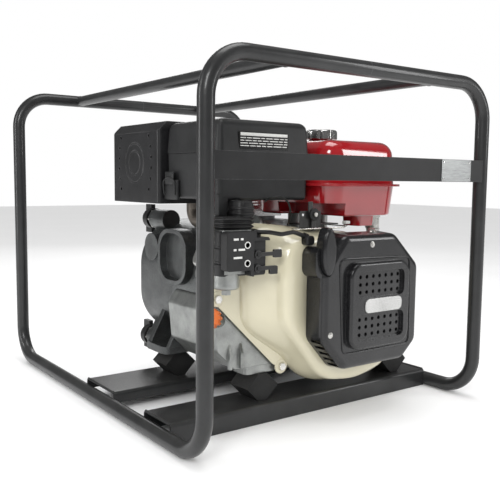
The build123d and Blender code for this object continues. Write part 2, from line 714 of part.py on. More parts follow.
# --------------------------------------------------------------- air cleaner
AIR_X = (-200.0, -15.0)
AIR_Y = (-262.0, -97.0)
AIR_LOW = 374.0
AIR_SEAM = 451.0
AIR_TOP = 504.0
AIR_MIDDLE = ((AIR_X[0] + AIR_X[1]) / 2, (AIR_Y[0] + AIR_Y[1]) / 2)
AIR_WIDE = AIR_X[1] - AIR_X[0]
AIR_DEEP = AIR_Y[1] - AIR_Y[0]
PLASTIC = 3.0
ELBOW_MIDDLE = (-181.0, -270.0)
ELBOW_LOW = 330.0
LUG_X = -181.0         # right side of the corner lug
LUG_LOW = 350.0
DUCT_X = -164.0        # where the duct enters the box
DUCT_Y = -248.0
with BuildPart() as air_cleaner_base:
    with BuildSketch(Plane.XY.offset(AIR_SEAM)):
        with Locations(AIR_MIDDLE):
            RectangleRounded(AIR_WIDE, AIR_DEEP, 9)
    extrude(amount=AIR_LOW - AIR_SEAM, taper=1)
    fillet(air_cleaner_base.faces().sort_by(Axis.Z)[0].edges(), 6)
    with BuildSketch(Plane.XY.offset(AIR_SEAM)):
        with Locations(AIR_MIDDLE):
            RectangleRounded(AIR_WIDE - 2 * PLASTIC - 4, AIR_DEEP - 2 * PLASTIC - 4, 7)
    extrude(amount=AIR_LOW - AIR_SEAM + PLASTIC, mode=Mode.SUBTRACT)
    # Lug at the front left corner, beside the intake duct.
    with BuildSketch(Plane.XY.offset(LUG_LOW)):
        with Locations(((AIR_X[0] + LUG_X) / 2, AIR_Y[0] + 14)):
            Rectangle(LUG_X - AIR_X[0] - 2, 25)
    extrude(amount=AIR_LOW + 10 - LUG_LOW)
    with BuildSketch(Plane.XY.offset(AIR_LOW - 1)):
        with Locations((DUCT_X, DUCT_Y)):
            Circle(11)
    extrude(amount=PLASTIC + 2, mode=Mode.SUBTRACT)
save(air_cleaner_base, "air_cleaner_base")

with BuildPart() as air_cleaner_cover:
    with BuildSketch(Plane.XY.offset(AIR_SEAM)):
        with Locations(AIR_MIDDLE):
            RectangleRounded(AIR_WIDE + 3, AIR_DEEP + 3, 10)
    extrude(amount=AIR_TOP - AIR_SEAM, taper=5)
    top_edges = air_cleaner_cover.faces().sort_by(Axis.Z)[-1].edges()
    fillet(top_edges, 13)
    with BuildSketch(Plane.XY.offset(AIR_SEAM)):
        with Locations(AIR_MIDDLE):
            RectangleRounded(AIR_WIDE - 2 * PLASTIC, AIR_DEEP - 2 * PLASTIC, 8)
    extrude(amount=AIR_TOP - AIR_SEAM - 2 * PLASTIC, taper=6, mode=Mode.SUBTRACT)
save(air_cleaner_cover, "air_cleaner_cover")

with BuildPart() as air_filter:
    with BuildSketch(Plane.XY.offset(AIR_LOW + PLASTIC)):
        with Locations((AIR_MIDDLE[0] + 6, AIR_MIDDLE[1] + 4)):
            Circle(62)
            Circle(40, mode=Mode.SUBTRACT)
    extrude(amount=82)
save(air_filter, "air_filter")

RIBS = 5
with BuildPart() as intake_elbow:
    with BuildSketch(Plane.XY.offset(ELBOW_LOW)):
        with Locations(ELBOW_MIDDLE):
            RectangleRounded(56, 50, 14)
    extrude(amount=AIR_LOW - ELBOW_LOW)
    for rib in range(RIBS):
        with BuildSketch(Plane.XY.offset(ELBOW_LOW + 3 + rib * 8)):
            with Locations(ELBOW_MIDDLE):
                RectangleRounded(62, 56, 16)
        extrude(amount=3.5)
    with BuildSketch(Plane.XY.offset(LUG_LOW - GAP)):
        with Locations((LUG_X - 24.5, ELBOW_MIDDLE[1])):
            Rectangle(50, 80)
    extrude(amount=AIR_LOW - LUG_LOW + 1, mode=Mode.SUBTRACT)
    with BuildSketch(Plane.XY.offset(ELBOW_LOW)):
        with Locations(ELBOW_MIDDLE):
            Circle(17)
    extrude(amount=LUG_LOW - ELBOW_LOW - 5, mode=Mode.SUBTRACT)
    with BuildSketch(Plane.XY.offset(LUG_LOW - 12)):
        with Locations((DUCT_X, DUCT_Y - 4)):
            Circle(11)
    extrude(amount=AIR_LOW - LUG_LOW + 12, mode=Mode.SUBTRACT)
save(intake_elbow, "intake_elbow")

# --------------------------------------------------------------- carburettor
CARB_X = -190.0
CARB_Y = -283.0
CARB_LOW = 262.0
CARB_BACK = -248.0     # front of the cylinder head
BOWL_X = -200.0
BOWL_Y = -284.0
with BuildPart() as carburetor:
    with BuildSketch(Plane.XY.offset(CARB_LOW)):
        with Locations((CARB_X, CARB_Y)):
            RectangleRounded(54, 44, 8)
    extrude(amount=ELBOW_LOW - CARB_LOW)
    with BuildSketch(facing(CARB_Y)):
        with Locations((INTAKE_X, INTAKE_Z)):
            Circle(INTAKE_R)
    extrude(amount=CARB_Y - SHROUD_BACK)
    # Flange that turns to the head behind the shroud's wing.
    with BuildSketch(facing(SHROUD_SHOULDER + SHEET + 0.5)):
        with Locations((INTAKE_X + 24, INTAKE_Z)):
            RectangleRounded(88, 34, 8)
    extrude(amount=SHROUD_SHOULDER + SHEET + 0.5 - CARB_BACK)
    with BuildSketch(Plane.XY.offset(INTAKE_Z - 6)):
        with Locations((CARB_X + 6, CARB_Y + 4)):
            Circle(14)
    extrude(amount=ELBOW_LOW - INTAKE_Z + 7, mode=Mode.SUBTRACT)
    with BuildSketch(facing(CARB_Y)):
        with Locations((INTAKE_X, INTAKE_Z)):
            Circle(13)
    extrude(amount=CARB_Y - SHROUD_BACK - 1, mode=Mode.SUBTRACT)
    with BuildSketch(facing(SHROUD_BACK - 2)):
        with Locations((INTAKE_X + 28, INTAKE_Z)):
            Rectangle(68, 16)
    extrude(amount=-8, mode=Mode.SUBTRACT)
save(carburetor, "carburetor")

with BuildPart() as float_bowl:
    with BuildSketch(Plane.XY.offset(262)):
        with Locations((BOWL_X, BOWL_Y)):
            Circle(21)
    extrude(amount=-25)
    fillet(float_bowl.faces().sort_by(Axis.Z)[0].edges(), 5)
    with BuildSketch(Plane.XY.offset(262)):
        with Locations((BOWL_X, BOWL_Y)):
            Circle(19.5)
    extrude(amount=-22, mode=Mode.SUBTRACT)
    with BuildSketch(Plane.XY.offset(238)):
        with Locations((BOWL_X, BOWL_Y)):
            RegularPolygon(8, 6)
    extrude(amount=-10)
save(float_bowl, "float_bowl")

COVER_FACE = -321.0
COVER_BACK = CARB_Y - 22.0
LEVER_X = -162.0
CHOKE_Z = 292.0
FUEL_Z = 270.0
LEVER_PIN = 3.0
POCKET = 11.0
with BuildPart() as control_cover:
    with BuildSketch(facing(COVER_FACE)):
        with Locations((-196, 299)):
            RectangleRounded(56, 60, 5)
        with Locations((-161, 289)):
            RectangleRounded(36, 60, 4)
    extrude(amount=COVER_FACE - COVER_BACK)
    with BuildSketch(facing(COVER_FACE)):
        with Locations((-156, 282)):
            Rectangle(34, 64)
    extrude(amount=-POCKET, mode=Mode.SUBTRACT)
    with BuildSketch(facing(COVER_FACE + POCKET)):
        with Locations((LEVER_X, CHOKE_Z), (LEVER_X, FUEL_Z)):
            Circle(LEVER_PIN)
    extrude(amount=POCKET - 2)
save(control_cover, "control_cover")


def make_lever(pivot_z, reach, drop):
    """Flat lever with a boss on its pin, reaching toward +X."""
    with BuildPart() as lever:
        with BuildSketch(facing(COVER_FACE + POCKET - 2)):
            with Locations((LEVER_X, pivot_z)):
                Circle(6)
            with Locations((LEVER_X + reach / 2, pivot_z)):
                Rectangle(reach, 6)
            with Locations((LEVER_X + reach - 5, pivot_z - drop)):
                RectangleRounded(15, 13, 2)
            with Locations((LEVER_X, pivot_z)):
                Circle(LEVER_PIN + 0.06, mode=Mode.SUBTRACT)
        extrude(amount=5)
    return lever


save(make_lever(CHOKE_Z, 44.0, 0.0), "choke_lever")
save(make_lever(FUEL_Z, 36.0, 4.0), "fuel_lever")

# ------------------------------------------------------------------- muffler
GUARD_X = (-215.0, -100.0)
GUARD_Y = (-95.0, 86.0)
GUARD_Z = (364.0, 508.0)
GUARD_CHAMFER = 17.0
EXHAUST_X = -122.0
EXHAUST_Y = -66.0
EXHAUST_Z = 332.0
MUFFLER_LOW = 374.0
DIMPLE = (-4.0, 436.0)
with BuildPart() as muffler_guard:
    with BuildSketch(facing(GUARD_Y[0])) as outline:
        with Locations(((GUARD_X[0] + GUARD_X[1]) / 2, (GUARD_Z[0] + GUARD_Z[1]) / 2)):
            Rectangle(GUARD_X[1] - GUARD_X[0], GUARD_Z[1] - GUARD_Z[0])
        chamfer(outline.vertices().group_by(Axis.X)[0].sort_by(Axis.Y)[-1:], GUARD_CHAMFER)
    extrude(amount=GUARD_Y[0] - GUARD_Y[1])
    fillet(muffler_guard.edges().filter_by(Axis.Z).group_by(Axis.X)[0], 7)
    offset(amount=-SHEET, openings=muffler_guard.faces().sort_by(Axis.X)[-1])
    # Pressed rings and two curved rows of holes in the outer face.
    with BuildSketch(along_x(GUARD_X[0] - 1)):
        for row in range(6):
            drop = (row - 2.5) * 19
            bow = 8 - 0.004 * drop * drop
            shift = 56 + bow
            with Locations((DIMPLE[0] - shift, DIMPLE[1] + drop), (DIMPLE[0] + shift, DIMPLE[1] + drop)):
                Circle(3)
    extrude(amount=6, mode=Mode.SUBTRACT)
    for radius in (22, 36):
        with BuildSketch(along_x(GUARD_X[0] - 1)):
            with Locations(DIMPLE):
                Circle(radius + 1.5)
                Circle(radius - 1.5, mode=Mode.SUBTRACT)
        extrude(amount=1.9, mode=Mode.SUBTRACT)
    with BuildSketch(Plane.XY.offset(GUARD_Z[0] - 1)):
        with Locations((EXHAUST_X, EXHAUST_Y)):
            Circle(20)
    extrude(amount=5, mode=Mode.SUBTRACT)
    # Louvre slots across the top.
    with BuildSketch(Plane.XY.offset(GUARD_Z[1] + 1)):
        with Locations((-168, -4)):
            with GridLocations(1, 16, 1, 9):
                Rectangle(36, 5)
    extrude(amount=-5, mode=Mode.SUBTRACT)
save(muffler_guard, "muffler_guard")

with BuildPart() as muffler_body:
    with BuildSketch(Plane.XY.offset(MUFFLER_LOW)):
        with Locations((-156, -4)):
            RectangleRounded(94, 158, 26)
    extrude(amount=120)
    fillet(muffler_body.faces().filter_by(Axis.Z).edges(), 8)
    with BuildSketch(Plane.XY.offset(MUFFLER_LOW + 6)):
        with Locations((-156, -4)):
            RectangleRounded(84, 148, 21)
    extrude(amount=108, mode=Mode.SUBTRACT)
save(muffler_body, "muffler_body")

with BuildPart() as exhaust_pipe:
    with BuildLine():
        FilletPolyline(
            (EXHAUST_X, -112, EXHAUST_Z),
            (EXHAUST_X, EXHAUST_Y, EXHAUST_Z),
            (EXHAUST_X, EXHAUST_Y, MUFFLER_LOW),
            radius=22,
        )
    with BuildSketch(Plane(origin=(EXHAUST_X, -112, EXHAUST_Z), x_dir=(1, 0, 0), z_dir=(0, 1, 0))):
        Circle(16)
        Circle(14, mode=Mode.SUBTRACT)
    sweep()
save(exhaust_pipe, "exhaust_pipe")

# ------------------------------------------------- ignition, oil and controls
with BuildPart() as spark_plug:
    with BuildSketch(on_cylinder(HEAD_START + 2)):
        Circle(6.9)
    extrude(amount=HEAD_THICK - 4)
save(spark_plug, "spark_plug")

LEAD_R = 3.5
LEAD_ROUTE = [
    (-160, -300, 326), (-140, -314, 326), (-118, -319, 322), (-94, -319, 325), (-72, -318, 318),
]
with BuildPart() as ignition_lead:
    with BuildLine():
        FilletPolyline(*LEAD_ROUTE, radius=24)
    with BuildSketch(Plane(origin=LEAD_ROUTE[0], z_dir=Vector(20, -14, 0))):
        Circle(LEAD_R)
    sweep()
save(ignition_lead, "ignition_lead")

with BuildPart() as lead_grommet:
    with BuildSketch(facing(SHROUD_FRONT)):
        with Locations((-62, 310)):
            RectangleRounded(18, 16, 6)
    extrude(amount=14)
    fillet(lead_grommet.faces().sort_by(Axis.Y)[0].edges(), 4)
    with BuildSketch(Plane(origin=LEAD_ROUTE[-1], z_dir=(22, 1, -7))):
        Circle(LEAD_R + 2)
    extrude(amount=8)
save(lead_grommet, "lead_grommet")

# Control bracket, hand throttle, governor arm and the rod between them.
BRACKET_Y = -284.0
THROTTLE_X = -24.0
THROTTLE_Z = 350.0
ROD_Z = 326.5
ROD_R = 1.2
ROD_LEFT = -68.0
ROD_Y = BRACKET_Y - 7.0
with BuildPart() as control_bracket:
    with BuildSketch(facing(BRACKET_Y)):
        with Locations((-28, 341)):
            Rectangle(46, 30)
        with Locations((-44, 350)):
            Circle(3, mode=Mode.SUBTRACT)
    extrude(amount=-SHEET)
    with BuildSketch(Plane.XY.offset(332)):
        with Locations((-2, -262)):
            Rectangle(76, 44)
    extrude(amount=SHEET)
    with BuildSketch(Plane.XY.offset(300)):
        with Locations((28, -241)):
            Rectangle(16, SHEET)
    extrude(amount=332 + SHEET - 300)
    with BuildSketch(facing(BRACKET_Y)):
        with Locations((THROTTLE_X, THROTTLE_Z)):
            Circle(LEVER_PIN)
    extrude(amount=6)
save(control_bracket, "control_bracket")

with BuildPart() as throttle_lever:
    with BuildSketch(facing(BRACKET_Y - 1)):
        with Locations((THROTTLE_X, THROTTLE_Z)):
            Circle(10)
        with Locations((THROTTLE_X, (THROTTLE_Z + ROD_Z - 4) / 2)):
            Rectangle(9, THROTTLE_Z - ROD_Z + 4)
        with Locations((THROTTLE_X - 7, THROTTLE_Z + 13)):
            Rectangle(8, 18)
        with Locations((THROTTLE_X, THROTTLE_Z)):
            Circle(LEVER_PIN + 0.06, mode=Mode.SUBTRACT)
        with Locations((THROTTLE_X, ROD_Z)):
            SlotOverall(6, 3, rotation=90, mode=Mode.SUBTRACT)
    extrude(amount=3)
save(throttle_lever, "throttle_lever")

with BuildPart() as governor_arm:
    with BuildSketch(Plane.XY.offset(ROD_Z + 1.8)):
        with Locations((GOVERNOR_X, (GOVERNOR_Y + ROD_Y) / 2)):
            SlotOverall(GOVERNOR_Y - ROD_Y + 9, 9, rotation=90)
        with Locations((GOVERNOR_X, ROD_Y)):
            SlotOverall(6, 3, rotation=90, mode=Mode.SUBTRACT)
    extrude(amount=1.6)
    with BuildSketch(Plane.XY.offset(GOVERNOR_FOOT + 1)):
        with Locations((GOVERNOR_X, GOVERNOR_Y)):
            Circle(3)
    extrude(amount=ROD_Z + 1.8 - GOVERNOR_FOOT - 1)
save(governor_arm, "governor_arm")

with BuildPart() as governor_rod:
    with BuildLine():
        FilletPolyline(
            (ROD_LEFT, ROD_Y + 8, ROD_Z),
            (ROD_LEFT, ROD_Y, ROD_Z),
            (GOVERNOR_X, ROD_Y, ROD_Z),
            (GOVERNOR_X, ROD_Y, ROD_Z + 5),
            radius=2,
        )
    with BuildSketch(Plane(origin=(ROD_LEFT, ROD_Y + 8, ROD_Z), x_dir=(1, 0, 0), z_dir=(0, -1, 0))):
        Circle(ROD_R)
    sweep()
    with BuildSketch(facing(ROD_Y)):
        with Locations((THROTTLE_X, ROD_Z)):
            Circle(ROD_R)
    extrude(amount=ROD_Y - BRACKET_Y)
save(governor_rod, "governor_rod")

# --------------------------------------------------------------------- pump
PUMP_X = (PUMP_LEFT + PUMP_RIGHT) / 2
PUMP_Z = (PUMP_LOW + PUMP_TOP) / 2
PUMP_WIDE = PUMP_RIGHT - PUMP_LEFT
PUMP_HIGH = PUMP_TOP - PUMP_LOW
PLUGS = [(-112.0, 326.0), (-118.0, 82.0)]
LUG = (-103.0, 108.0)   # web that ties the drain boss to the casing
SHIELD = (-36.0, 262.0)
with BuildPart() as pump_casing:
    with BuildSketch(facing(PTO_FACE)):
        with Locations((PUMP_X, PUMP_Z)):
            RectangleRounded(PUMP_WIDE - 30, PUMP_HIGH - 24, PUMP_CORNER)
    with BuildSketch(facing(-30)):
        with Locations((PUMP_X, PUMP_Z)):
            RectangleRounded(PUMP_WIDE, PUMP_HIGH, PUMP_CORNER + 20)
    loft()
    with BuildSketch(facing(-30)):
        with Locations((PUMP_X, PUMP_Z)):
            RectangleRounded(PUMP_WIDE, PUMP_HIGH, PUMP_CORNER + 20)
    extrude(amount=-30 - PUMP_BACK)
    # Feet that flare down to the rear mounts.
    with BuildSketch(Plane.XY.offset(FOOT_Z)):
        with Locations(*MOUNTS[2:]):
            RectangleRounded(84, 78, 12)
        with Locations((PUMP_X, -14)):
            Rectangle(300, 60)
    extrude(amount=FOOT_THICK)
    for side, foot_x in ((-1, MOUNTS[2][0]), (1, MOUNTS[3][0])):
        with BuildSketch(facing(20)):
            low, high = (foot_x + side * 38, 94), (foot_x - side * 12, 190)
            Polygon(low, (foot_x - side * 60, 94), high, align=None)
        extrude(amount=12)
        with BuildSketch(facing(-50)):
            low, high = (foot_x + side * 38, 94), (foot_x - side * 12, 190)
            Polygon(low, (foot_x - side * 60, 94), high, align=None)
        extrude(amount=10)
    # Raised rim and shallow pocket on the outer side.
    with BuildSketch(along_x(PUMP_LEFT + 20)):
        with Locations(SHIELD):
            RectangleRounded(104, 104, 38)
    extrude(amount=-26)
    with BuildSketch(along_x(PUMP_LEFT - 6)):
        with Locations(SHIELD):
            RectangleRounded(88, 88, 32)
    extrude(amount=16, mode=Mode.SUBTRACT)
    # Plug boss beside it, and the bosses for the priming and drain plugs.
    with BuildSketch(along_x(PUMP_LEFT + 30)):
        with Locations((50, 274)):
            Circle(27)
    extrude(amount=-32)
    with BuildSketch(facing(40)):
        with Locations(*PLUGS):
            Circle(20)
        with Locations(LUG):
            Rectangle(34, 52, rotation=-28)
    extrude(amount=40 - PUMP_BACK)
    # Outlet boss on top.
    with BuildSketch(Plane.XY.offset(PUMP_TOP - 20)):
        with Locations((DISCHARGE_X, DISCHARGE_Y)):
            Circle(52)
    extrude(amount=28)
    # Water chamber from the back, dry chamber from the front.
    with BuildSketch(facing(PUMP_BACK)):
        with Locations((PUMP_X, PUMP_Z)):
            RectangleRounded(PUMP_WIDE - 28, PUMP_HIGH - 28, PUMP_CORNER)
    extrude(amount=PUMP_BACK - WET_FRONT, mode=Mode.SUBTRACT)
    with BuildSketch(facing(PTO_FACE)):
        with Locations((CRANK_X, CRANK_Z)):
            Circle(78)
    extrude(amount=PTO_FACE - WET_FRONT + 10, mode=Mode.SUBTRACT)
    with BuildSketch(facing(PTO_FACE)):
        with Locations((CRANK_X, CRANK_Z)):
            Circle(26)
    extrude(amount=-130, mode=Mode.SUBTRACT)
    with BuildSketch(Plane.XY.offset(PUMP_TOP - 30)):
        with Locations((DISCHARGE_X, DISCHARGE_Y)):
            Circle(PORT_BORE)
    extrude(amount=60, mode=Mode.SUBTRACT)
    mount_holes(BOLT_HOLE, MOUNTS[2:], FOOT_Z - 1, FOOT_Z + FOOT_THICK + 1)
    with BuildSketch(Plane.XY.offset(FOOT_Z + FOOT_THICK)):
        with Locations(*MOUNTS[2:]):
            Circle(HEAD_R + 3)
    extrude(amount=18, mode=Mode.SUBTRACT)
save(pump_casing, "pump_casing")

COVER_THICK = 12.0
with BuildPart() as pump_cover:
    with BuildSketch(facing(PUMP_BACK)):
        with Locations((PUMP_X, PUMP_Z)):
            RectangleRounded(PUMP_WIDE, PUMP_HIGH, PUMP_CORNER + 20)
        with Locations(*PLUGS):
            Circle(20)
        with Locations(LUG):
            Rectangle(34, 52, rotation=-28)
        with Locations((CRANK_X, CRANK_Z)):
            Circle(PORT_BORE, mode=Mode.SUBTRACT)
    extrude(amount=-COVER_THICK)
    with BuildSketch(facing(PUMP_BACK - 1)):
        with Locations(*PLUGS):
            Circle(9)
    extrude(amount=-COVER_THICK - 2, mode=Mode.SUBTRACT)
save(pump_cover, "pump_cover")

PORT_START = PUMP_BACK + COVER_THICK
PORT_LONG = 62.0
with BuildPart() as suction_port:
    with BuildSketch(facing(PORT_START)):
        with Locations((CRANK_X, CRANK_Z)):
            RectangleRounded(118, 118, 22)
    extrude(amount=-12)
    with BuildSketch(facing(PORT_START)):
        with Locations((CRANK_X, CRANK_Z)):
            Circle(PORT_R)
    extrude(amount=-PORT_LONG)
    with BuildSketch(facing(PORT_START)):
        with Locations((CRANK_X, CRANK_Z)):
            Circle(PORT_BORE)
    extrude(amount=-PORT_LONG, mode=Mode.SUBTRACT)
save(suction_port, "suction_port")

DISCHARGE_LOW = PUMP_TOP + 8.0
with BuildPart() as discharge_port:
    with BuildSketch(Plane.XY.offset(DISCHARGE_LOW)):
        with Locations((DISCHARGE_X, DISCHARGE_Y)):
            RectangleRounded(104, 104, 22)
    extrude(amount=12)
    with BuildSketch(Plane.XY.offset(DISCHARGE_LOW)):
        with Locations((DISCHARGE_X, DISCHARGE_Y)):
            Circle(PORT_R)
    extrude(amount=72)
    with BuildSketch(Plane.XY.offset(DISCHARGE_LOW)):
        with Locations((DISCHARGE_X, DISCHARGE_Y)):
            Circle(PORT_BORE)
    extrude(amount=72, mode=Mode.SUBTRACT)
save(discharge_port, "discharge_port")

IMPELLER_R = 66.0
with BuildPart() as diffuser:
    with BuildSketch(facing(WET_FRONT)):
        with Locations((CRANK_X, CRANK_Z)):
            Circle(88)
            Circle(IMPELLER_R + 4, mode=Mode.SUBTRACT)
        with Locations((CRANK_X - 8, CRANK_Z + 80)):
            Rectangle(34, 30, mode=Mode.SUBTRACT)
    extrude(amount=-40)
save(diffuser, "diffuser")

VANES = 6
with BuildPart() as impeller:
    with BuildSketch(facing(-8)):
        with Locations((CRANK_X, CRANK_Z)):
            Circle(IMPELLER_R)
    extrude(amount=-5)
    with BuildSketch(facing(-3)):
        with Locations((CRANK_X, CRANK_Z)):
            with PolarLocations(42, VANES):
                Rectangle(42, 4, rotation=35)
    extrude(amount=-14)
    with BuildSketch(facing(-8)):
        with Locations((CRANK_X, CRANK_Z)):
            Circle(20)
    extrude(amount=-28)
    with BuildSketch(facing(-8)):
        with Locations((CRANK_X, CRANK_Z)):
            Circle(SPINDLE_R)
    extrude(amount=-30, mode=Mode.SUBTRACT)
save(impeller, "impeller")

with BuildPart() as mechanical_seal:
    with BuildSketch(facing(-32)):
        with Locations((CRANK_X, CRANK_Z)):
            Circle(26)
            Circle(SPINDLE_R + SHAFT_RUN, mode=Mode.SUBTRACT)
    extrude(amount=-18)
save(mechanical_seal, "mechanical_seal")

FLAP_R = 39.0
FLAP_PIN_Y = PUMP_BACK - 6.0
with BuildPart() as check_valve_flap:
    with BuildSketch(facing(PUMP_BACK - 5)):
        with Locations((CRANK_X, CRANK_Z)):
            Circle(FLAP_R)
        with Locations((CRANK_X, CRANK_Z + 35)):
            Rectangle(30, 26)
    extrude(amount=-4)
    with BuildSketch(along_x(CRANK_X - 18)):
        with Locations((FLAP_PIN_Y, CRANK_Z + 47)):
            Circle(3)
    extrude(amount=36)
save(check_valve_flap, "check_valve_flap")

with BuildPart() as plug_necks:
    with BuildSketch(facing(PORT_START)):
        with Locations(*PLUGS):
            Circle(15)
    extrude(amount=-16)
    with BuildSketch(facing(PORT_START)):
        with Locations(*PLUGS):
            RegularPolygon(20, 6)
    extrude(amount=-6)
    with BuildSketch(facing(PORT_START)):
        with Locations(*PLUGS):
            Circle(9)
    extrude(amount=-16, mode=Mode.SUBTRACT)
save(plug_necks, "plug_necks")

CAP_START = PORT_START + 9.0


def make_wing_cap(spot):
    """Winged plastic cap over one plug neck."""
    with BuildPart() as cap:
        with BuildSketch(facing(CAP_START)):
            with Locations(spot):
                Circle(21)
        extrude(amount=-20)
        fillet(cap.faces().sort_by(Axis.Y)[-1].edges(), 5)
        with BuildSketch(facing(CAP_START + 8)):
            with Locations(spot):
                Rectangle(9, 58)
        extrude(amount=-24)
        with BuildSketch(facing(CAP_START)):
            with Locations(spot):
                Circle(15.06)
        extrude(amount=-10, mode=Mode.SUBTRACT)
    return cap


save(make_wing_cap(PLUGS[0]), "priming_cap")
save(make_wing_cap(PLUGS[1]), "drain_cap")

with BuildPart() as oil_cap:
    with BuildSketch(FILLER.offset(FILLER_LONG + GAP)):
        Circle(16)
        with PolarLocations(16, 10):
            Circle(2.5, mode=Mode.SUBTRACT)
    extrude(amount=12)
save(oil_cap, "oil_cap")

with BuildPart() as cover_screws:
    with BuildSketch(facing(PORT_START + 12)):
        with Locations((CRANK_X, CRANK_Z)):
            with GridLocations(92, 92, 2, 2):
                RegularPolygon(7, 6)
    extrude(amount=-6)
    with BuildSketch(Plane.XY.offset(DISCHARGE_LOW + 12)):
        with Locations((DISCHARGE_X, DISCHARGE_Y)):
            with GridLocations(80, 80, 2, 2):
                RegularPolygon(7, 6)
    extrude(amount=6)
    with BuildSketch(facing(SHROUD_SHOULDER - 0.2)):
        with Locations(*SHROUD_EARS):
            RegularPolygon(7, 6)
    extrude(amount=5)
save(cover_screws, "cover_screws")
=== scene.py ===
import json
import math
import random
import bmesh
import bpy
from mathutils import Matrix, Vector


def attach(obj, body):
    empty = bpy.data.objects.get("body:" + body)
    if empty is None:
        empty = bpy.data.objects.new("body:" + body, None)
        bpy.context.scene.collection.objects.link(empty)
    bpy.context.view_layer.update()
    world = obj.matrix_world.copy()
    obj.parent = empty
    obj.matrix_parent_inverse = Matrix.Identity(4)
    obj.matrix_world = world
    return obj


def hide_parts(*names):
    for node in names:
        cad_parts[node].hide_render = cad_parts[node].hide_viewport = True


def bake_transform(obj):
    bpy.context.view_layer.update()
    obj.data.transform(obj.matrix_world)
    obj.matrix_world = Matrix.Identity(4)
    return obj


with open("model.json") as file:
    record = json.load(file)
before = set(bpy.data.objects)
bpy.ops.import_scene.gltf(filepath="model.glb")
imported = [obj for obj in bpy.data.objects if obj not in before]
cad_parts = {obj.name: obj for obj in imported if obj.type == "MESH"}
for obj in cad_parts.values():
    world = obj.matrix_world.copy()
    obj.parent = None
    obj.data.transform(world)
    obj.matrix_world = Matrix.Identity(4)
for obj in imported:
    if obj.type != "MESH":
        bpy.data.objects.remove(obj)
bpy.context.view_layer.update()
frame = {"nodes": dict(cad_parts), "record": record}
random.seed(7)

MM = 0.001
ROOT = "machine"

# Places in the frame, in millimetres.
CRANK_X, CRANK_Z = 62, 200
PUMP_COVER_Y = 97
RECOIL_FACE_Y = -352
BOOT_X, BOOT_Y = -181, -270
THROTTLE_X, THROTTLE_Z = -24, 350
ROPE_X, ROPE_Z = -46, 283
RAIL_X, RAIL_END_Y, RAIL_Z = 158.3, 371.5, 582.4
CHANNEL_END_X, CHANNEL_TOP_Z = 290.5, 32

# Radius and height of a weld bead round a rail.
WELD_PROFILE = [(11.2, -3.5), (12.1, -1.6), (12.3, 0.4), (11.9, 3.0), (11.0, 3.2)]


# ------------------------------------------------------------------ materials
def node_tree(name):
    """A new material with its shader, and a helper that adds nodes to it."""
    material = bpy.data.materials.new(name)
    material.use_nodes = True
    tree = material.node_tree
    shader = tree.nodes["Principled BSDF"]

    def add(kind, **values):
        node = tree.nodes.new(kind)
        for key, value in values.items():
            if key in node.inputs:
                node.inputs[key].default_value = value
            else:
                setattr(node, key, value)
        return node

    return material, tree, shader, add


def blend_colors(tree, add, factor, first, second):
    """Mix two colours, each a tuple or a socket, by a factor socket."""
    mix = add("ShaderNodeMix", data_type="RGBA")
    tree.links.new(factor, mix.inputs[0])
    for socket, value in ((mix.inputs[6], first), (mix.inputs[7], second)):
        if isinstance(value, tuple):
            socket.default_value = (*value, 1.0)
        else:
            tree.links.new(value, socket)
    return mix.outputs[2]


